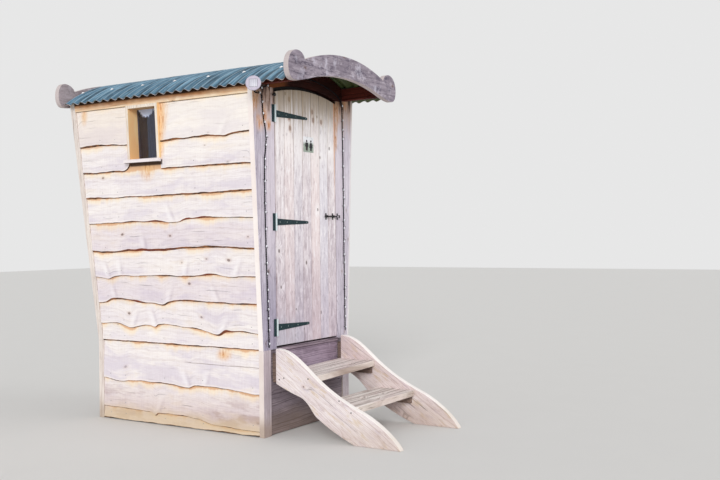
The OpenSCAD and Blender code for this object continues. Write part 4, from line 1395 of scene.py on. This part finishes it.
# %% Screws of the hinges and the bolt
STRAP_SCREWS = (0.045, 0.125, 0.235, 0.352)
PLATE_SCREWS = (-0.044, 0.044, 0.0)
SURFACE_Y, LOW_SURFACE_Y = FRONT_Y - 0.003, FRONT_Y - 0.0025
strap_screws, plate_screws, bolt_screws = Shape(), Shape(), Shape()
for z in HINGE_Z:
    for along in STRAP_SCREWS:
        dome(strap_screws, (HINGE_X + along, SURFACE_Y, z), FORWARDS, 0.0046, 0.0018, 12)
    for up_down in PLATE_SCREWS:
        dome(plate_screws, (HINGE_X - 0.019, SURFACE_Y, z + up_down), FORWARDS, 0.0048, 0.0016, 12)
dull_screw = worn_metal("worn_screws", (122, 138, 136), (70, 78, 76), 0.5, 0.4)
strap_screws.piece("strap_screws", dull_screw, "door", "hinge_metal")

BOLT_LOW, BOLT_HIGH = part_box("bolt_guides")
KEEPER_LOW, KEEPER_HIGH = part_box("bolt_keeper")
IN_X, IN_Z = 0.0075, 0.005
for x in (BOLT_LOW.x + IN_X, BOLT_HIGH.x - IN_X):
    for z in (BOLT_LOW.z + IN_Z, BOLT_HIGH.z - IN_Z):
        dome(bolt_screws, (x, LOW_SURFACE_Y, z), FORWARDS, 0.0034, 0.0014)
bolt_screws.piece("bolt_screws", zinc, "door", "bolt_metal")
for z in (KEEPER_LOW.z + IN_Z, KEEPER_HIGH.z - IN_Z):
    dome(plate_screws, (KEEPER_HIGH.x - IN_X, LOW_SURFACE_Y, z), FORWARDS, 0.0034, 0.0014)
plate_screws.piece("plate_screws", hinge_finish, "hut", "hinge_metal")

# %% [markdown]
# A small metal plaque on the door carries two plain figures, as on any toilet door. They
# are built from a round head and a body outline, pressed out of the plate by a millimetre.

# %% Plaque
PLAQUE_X, PLAQUE_Z = 0.022, 1.942
HALF_WIDE, HALF_TALL = 0.060, 0.053
plaque = Shape()
low = (PLAQUE_X - HALF_WIDE, FRONT_Y - 0.002, PLAQUE_Z - HALF_TALL)
plank(plaque, low, (PLAQUE_X + HALF_WIDE, FRONT_Y, PLAQUE_Z + HALF_TALL), ease=0.0008, lengthwise=2)
tarnish = Finish("plaque_metal")
cloudy = tarnish.cloud(tarnish.place, 40.0, 4.0, 0.6)
fade = tarnish.grade(tarnish.reach(UPRIGHT) + cloudy * 0.02, PLAQUE_Z + 0.036, PLAQUE_Z + 0.006)
tarnish.colour = tarnish.mix(fade, (240, 240, 244), (160, 172, 160))
tarnish.stain(cloudy, 0.5, 0.7, 0.4, (120, 132, 120))
plaque_finish = tarnish.close(cloudy * 0.2 + 0.28, cloudy, 0.0002, {"Metallic": 0.3})
plaque.piece("door_plaque", plaque_finish, "door", "hinge_metal")

# %% Figures on the plaque
LEFT_FIGURE = [(4, 14), (16, 11), (19, -14), (13, -16), (11, -42), (0, -42)]
RIGHT_FIGURE = [(4, 14), (12, 11), (19, -22), (10, -23), (9, -42), (0, -42)]
HEAD_R, HEAD_UP = 7.8, 24
figures = Shape()
for shift, half in ((-0.022, LEFT_FIGURE), (0.028, RIGHT_FIGURE)):
    body = half + [(-px, pz) for px, pz in reversed(half[:-1])]
    turns = [t / 8 * math.pi for t in range(16)]
    head = [(HEAD_R * math.cos(turn), HEAD_UP + HEAD_R * math.sin(turn)) for turn in turns]
    for outline in (body, head):
        pressed = [
            [Vector((PLAQUE_X + shift + px * MM, y, PLAQUE_Z + pz * MM)) for px, pz in outline]
            for y in (FRONT_Y - 0.0018, FRONT_Y - 0.003)
        ]
        figures.loft(pressed)
for side in (-1, 1):
    at = (PLAQUE_X + side * (HALF_WIDE - 0.006), FRONT_Y - 0.002, PLAQUE_Z)
    dome(figures, at, FORWARDS, 0.0032, 0.0015)
figures.piece("plaque_figures", black_iron, "door", "hinge_metal")

# %% [markdown]
# A small turned knob stands on the left jamb. A turned piece is a few rings round an axis,
# so its profile is a list of radii and of how far out each stands.

# %% Knob on the left jamb
KNOB_AT = Vector((-0.381, FRONT_Y, 2.240))
KNOB_PROFILE = [
    (0.006, 0.0), (0.006, 0.006), (0.010, 0.009), (0.013, 0.014), (0.0125, 0.019), (0.008, 0.0225),
    (0.002, 0.0235),
]
knob = Shape()
axes = Vector(SIDEWAYS), Vector(UPRIGHT)
knob.loft([ring_points(KNOB_AT + Vector(FORWARDS) * out, *axes, r, 24) for r, out in KNOB_PROFILE])
knob.piece("jamb_knob", black_iron, "hut", "bolt_metal")

# %% [markdown]
# A solar panel for the lights looks out to the left on a short arm. Its housing is pale
# moulded plastic; the cell is a dark-framed square of pale glass with printed lines.

# %% Housing of the solar panel
PANEL_AT = Vector((-0.700, FRONT_Y - 0.092, 2.266))
PANEL_TURN, PANEL_TILT = math.radians(212), math.radians(12)
TURN = Matrix.Rotation(PANEL_TURN, 3, "Z") @ Matrix.Rotation(math.pi / 2 - PANEL_TILT, 3, "Y")
panel_x, panel_y, panel_z = (TURN @ Vector(axis) for axis in (SIDEWAYS, BACKWARDS, UPRIGHT))


def on_panel(u, v, out):
    return PANEL_AT + panel_x * u + panel_y * v + panel_z * out


housing = Finish("housing_plastic")
dust = housing.cloud(housing.place, 60.0, 5.0, 0.6)
housing.colour = housing.mix(housing.grade(dust, 0.45, 0.75) * 0.5, (186, 178, 194), (160, 152, 168))
rim_out = housing.reach(panel_z) - panel_z.dot(PANEL_AT)
# The housing darkens behind its face, painted shade round its rim.
housing.stain(rim_out, -0.002, -0.006, 0.75, (92, 86, 98))
dress(housing.close(dust * 0.3 + 0.35, dust, 0.0002), 0, "solar_panel")

# %% Solar cell
CELL_HALF = 0.0265
BAR_PITCH, BUS_PITCH = 0.0045, 0.014
cell = Finish("solar_cell")
u = cell.reach(panel_x) - panel_x.dot(PANEL_AT)
v = cell.reach(panel_y) - panel_y.dot(PANEL_AT)
bars = cell.grade(abs((u % BAR_PITCH) - BAR_PITCH / 2), 0.0017, 0.0021)
buses = cell.grade(abs((v % BUS_PITCH) - BUS_PITCH / 2), 0.0058, 0.0066)
sheen = cell.cloud(cell.place, 30.0, 3.0)
rim_u, rim_v = (cell.grade(abs(way), CELL_HALF * 0.90, CELL_HALF * 0.96) for way in (u, v))
cell.colour = cell.mix(sheen, (182, 182, 194), (204, 202, 212))
cell.tint(bars * 0.25 + buses * 0.55, (112, 112, 128))
cell.tint(rim_u + rim_v, (84, 80, 94))
cell_finish = cell.close(sheen * 0.1 + 0.35, sockets={"Coat Weight": 0.05})
cell_piece = Shape()
levels = [(CELL_HALF, -0.0012), (CELL_HALF, -0.0004), (CELL_HALF * 0.96, 0.0)]
cell_piece.loft([[on_panel(a * half, b * half, out) for a, b in SQUARE] for half, out in levels])
cell_piece.piece("solar_cell", cell_finish, "hut", "panel_plastic")

# %% [markdown]
# The string of lights is two thin wires twisted together, stapled to the posts all the way,
# with a small bulb lying on them every hand's breadth and the stiff tails of its lead standing
# out at the side. The routes are those of the frame: one down the left post, the other over
# the header and down the right post. A helix round the smoothed route gives each wire.

# %% Routes of the lights
LIGHT_ROUTES = [
    [(-577, 2236), (-570, 2231), (-548, 2229), (-522, 2236), (-508, 2226), (-502, 2200), (-497, 2171),
     (-494, 2126), (-488, 2081), (-476, 2037), (-465, 1992), (-460, 1945), (-466, 1885), (-478, 1825),
     (-482, 1740), (-482, 1543), (-476, 1300), (-470, 1100), (-462, 900), (-455, 697), (-453, 580)],
    [(-562, 2262), (-540, 2262), (-510, 2267), (-475, 2279), (-445, 2289), (-415, 2306), (-380, 2330),
     (-310, 2352), (-220, 2374), (-120, 2390), (-40, 2396), (40, 2396), (120, 2390), (220, 2374),
     (310, 2352), (380, 2330), (415, 2306), (440, 2282), (449, 2256), (451, 2200), (454, 2000),
     (457, 1700), (457, 1460), (458, 1200), (460, 900), (462, 700), (463, 614)],
]
STRING_R = 0.0042
ROUTE_STEP = 0.0035
SOFTENINGS = 6


def smoothed(route):
    """A route as points at even steps, with its corners softened."""
    given = [Vector((x * MM, FRONT_Y - STRING_R, z * MM)) for x, z in route]
    points = given[:1]
    for a, b in zip(given, given[1:]):
        count = max(1, round((b - a).length / ROUTE_STEP))
        points += [a.lerp(b, i / count) for i in range(1, count + 1)]
    for _ in range(SOFTENINGS):
        inner = [(a + 2 * b + c) / 4 for a, b, c in zip(points, points[1:], points[2:])]
        points = [points[0], *inner, points[-1]]
    return points


def distances(line):
    travelled = [0.0]
    for a, b in zip(line, line[1:]):
        travelled.append(travelled[-1] + (b - a).length)
    return travelled


light_lines = [smoothed(route) for route in LIGHT_ROUTES]
print("the runs are", [round(distances(line)[-1], 2) for line in light_lines], "m long")

# %% Twisted wires
WIRE_R = 0.0025
TWIST_PITCH = 0.030


def twisted(line, phase):
    """One wire of the pair: a helix round the line."""
    strand = []
    for point, heading, far in zip(line, headings(line), distances(line)):
        flat = heading.cross(Vector(BACKWARDS)).normalized()
        turn = 2 * math.pi * far / TWIST_PITCH + phase
        offset = flat * math.cos(turn) + heading.cross(flat) * math.sin(turn)
        strand.append(point + offset * (STRING_R - WIRE_R))
    return strand


print("turns in each run", [round(distances(line)[-1] / TWIST_PITCH) for line in light_lines])

# %% Leads and bulbs
HEADER_Z, HEADER_HALF = 2.30, 0.40
LEAD_R = 0.0017
BULB_SIDES = 10
BEAD = [(0.0030, 0.0), (0.0040, 0.003), (0.0040, 0.010), (0.0026, 0.0135), (0.0008, 0.0148)]
wires, bulbs = Shape(), Shape()
chance = random.Random(7)


def add_bulb(start):
    """Adds a bulb at a place on the string, with one or two stiff tails of its lead."""
    for side in chance.choice(((-1,), (1,), (-1, 1))):
        lean = chance.choice((-1, 1)) * chance.uniform(0.2, 0.9)
        aside = Vector((side, 0, lean)).normalized() * chance.uniform(0.012, 0.024)
        tube(wires, [start, start + aside * 0.4 + Vector((0, -0.002, 0)), start + aside], LEAD_R, 6)
    out = Vector((chance.uniform(-0.35, 0.35), 0, -1)).normalized()
    end, back = start + Vector((0, -0.0032, 0.0065)), Vector(BACKWARDS)
    bulbs.loft([ring_points(end + out * far, out.cross(back), back, r, BULB_SIDES) for r, far in BEAD])


for line in light_lines:
    for phase in (0.0, math.pi):
        tube(wires, twisted(line, phase), WIRE_R, 6)
    next_bulb = 0.05
    for point, far in zip(line, distances(line)):
        if far < next_bulb:
            continue
        next_bulb = far + chance.uniform(0.05, 0.11)
        if point.z <= HEADER_Z or abs(point.x) >= HEADER_HALF:
            add_bulb(point + Vector((0, -0.003, 0)))
print("bulbs", len(bulbs.points) // (BULB_SIDES * len(BEAD)))

# %% Plastic of the lights
wire_plastic = Finish("wire_plastic")
tone = wire_plastic.cloud(wire_plastic.place, 90.0, 3.0)
wire_plastic.colour = wire_plastic.mix(tone, (10, 9, 13), (24, 22, 28))
wire_finish = wire_plastic.close(tone * 0.2 + 0.5, sockets={"Specular IOR Level": 0.15})
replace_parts(wires.piece("light_wires", wire_finish, "hut", "string_plastic"), "light_string")
bulb_plastic = Finish("bulb_plastic")
tone = bulb_plastic.cloud(bulb_plastic.place, 200.0, 2.0)
bulb_plastic.colour = bulb_plastic.mix(tone, (244, 244, 248), (216, 220, 228))
bulbs.piece("light_bulbs", bulb_plastic.close(tone * 0.1 + 0.15), "hut", "string_plastic")
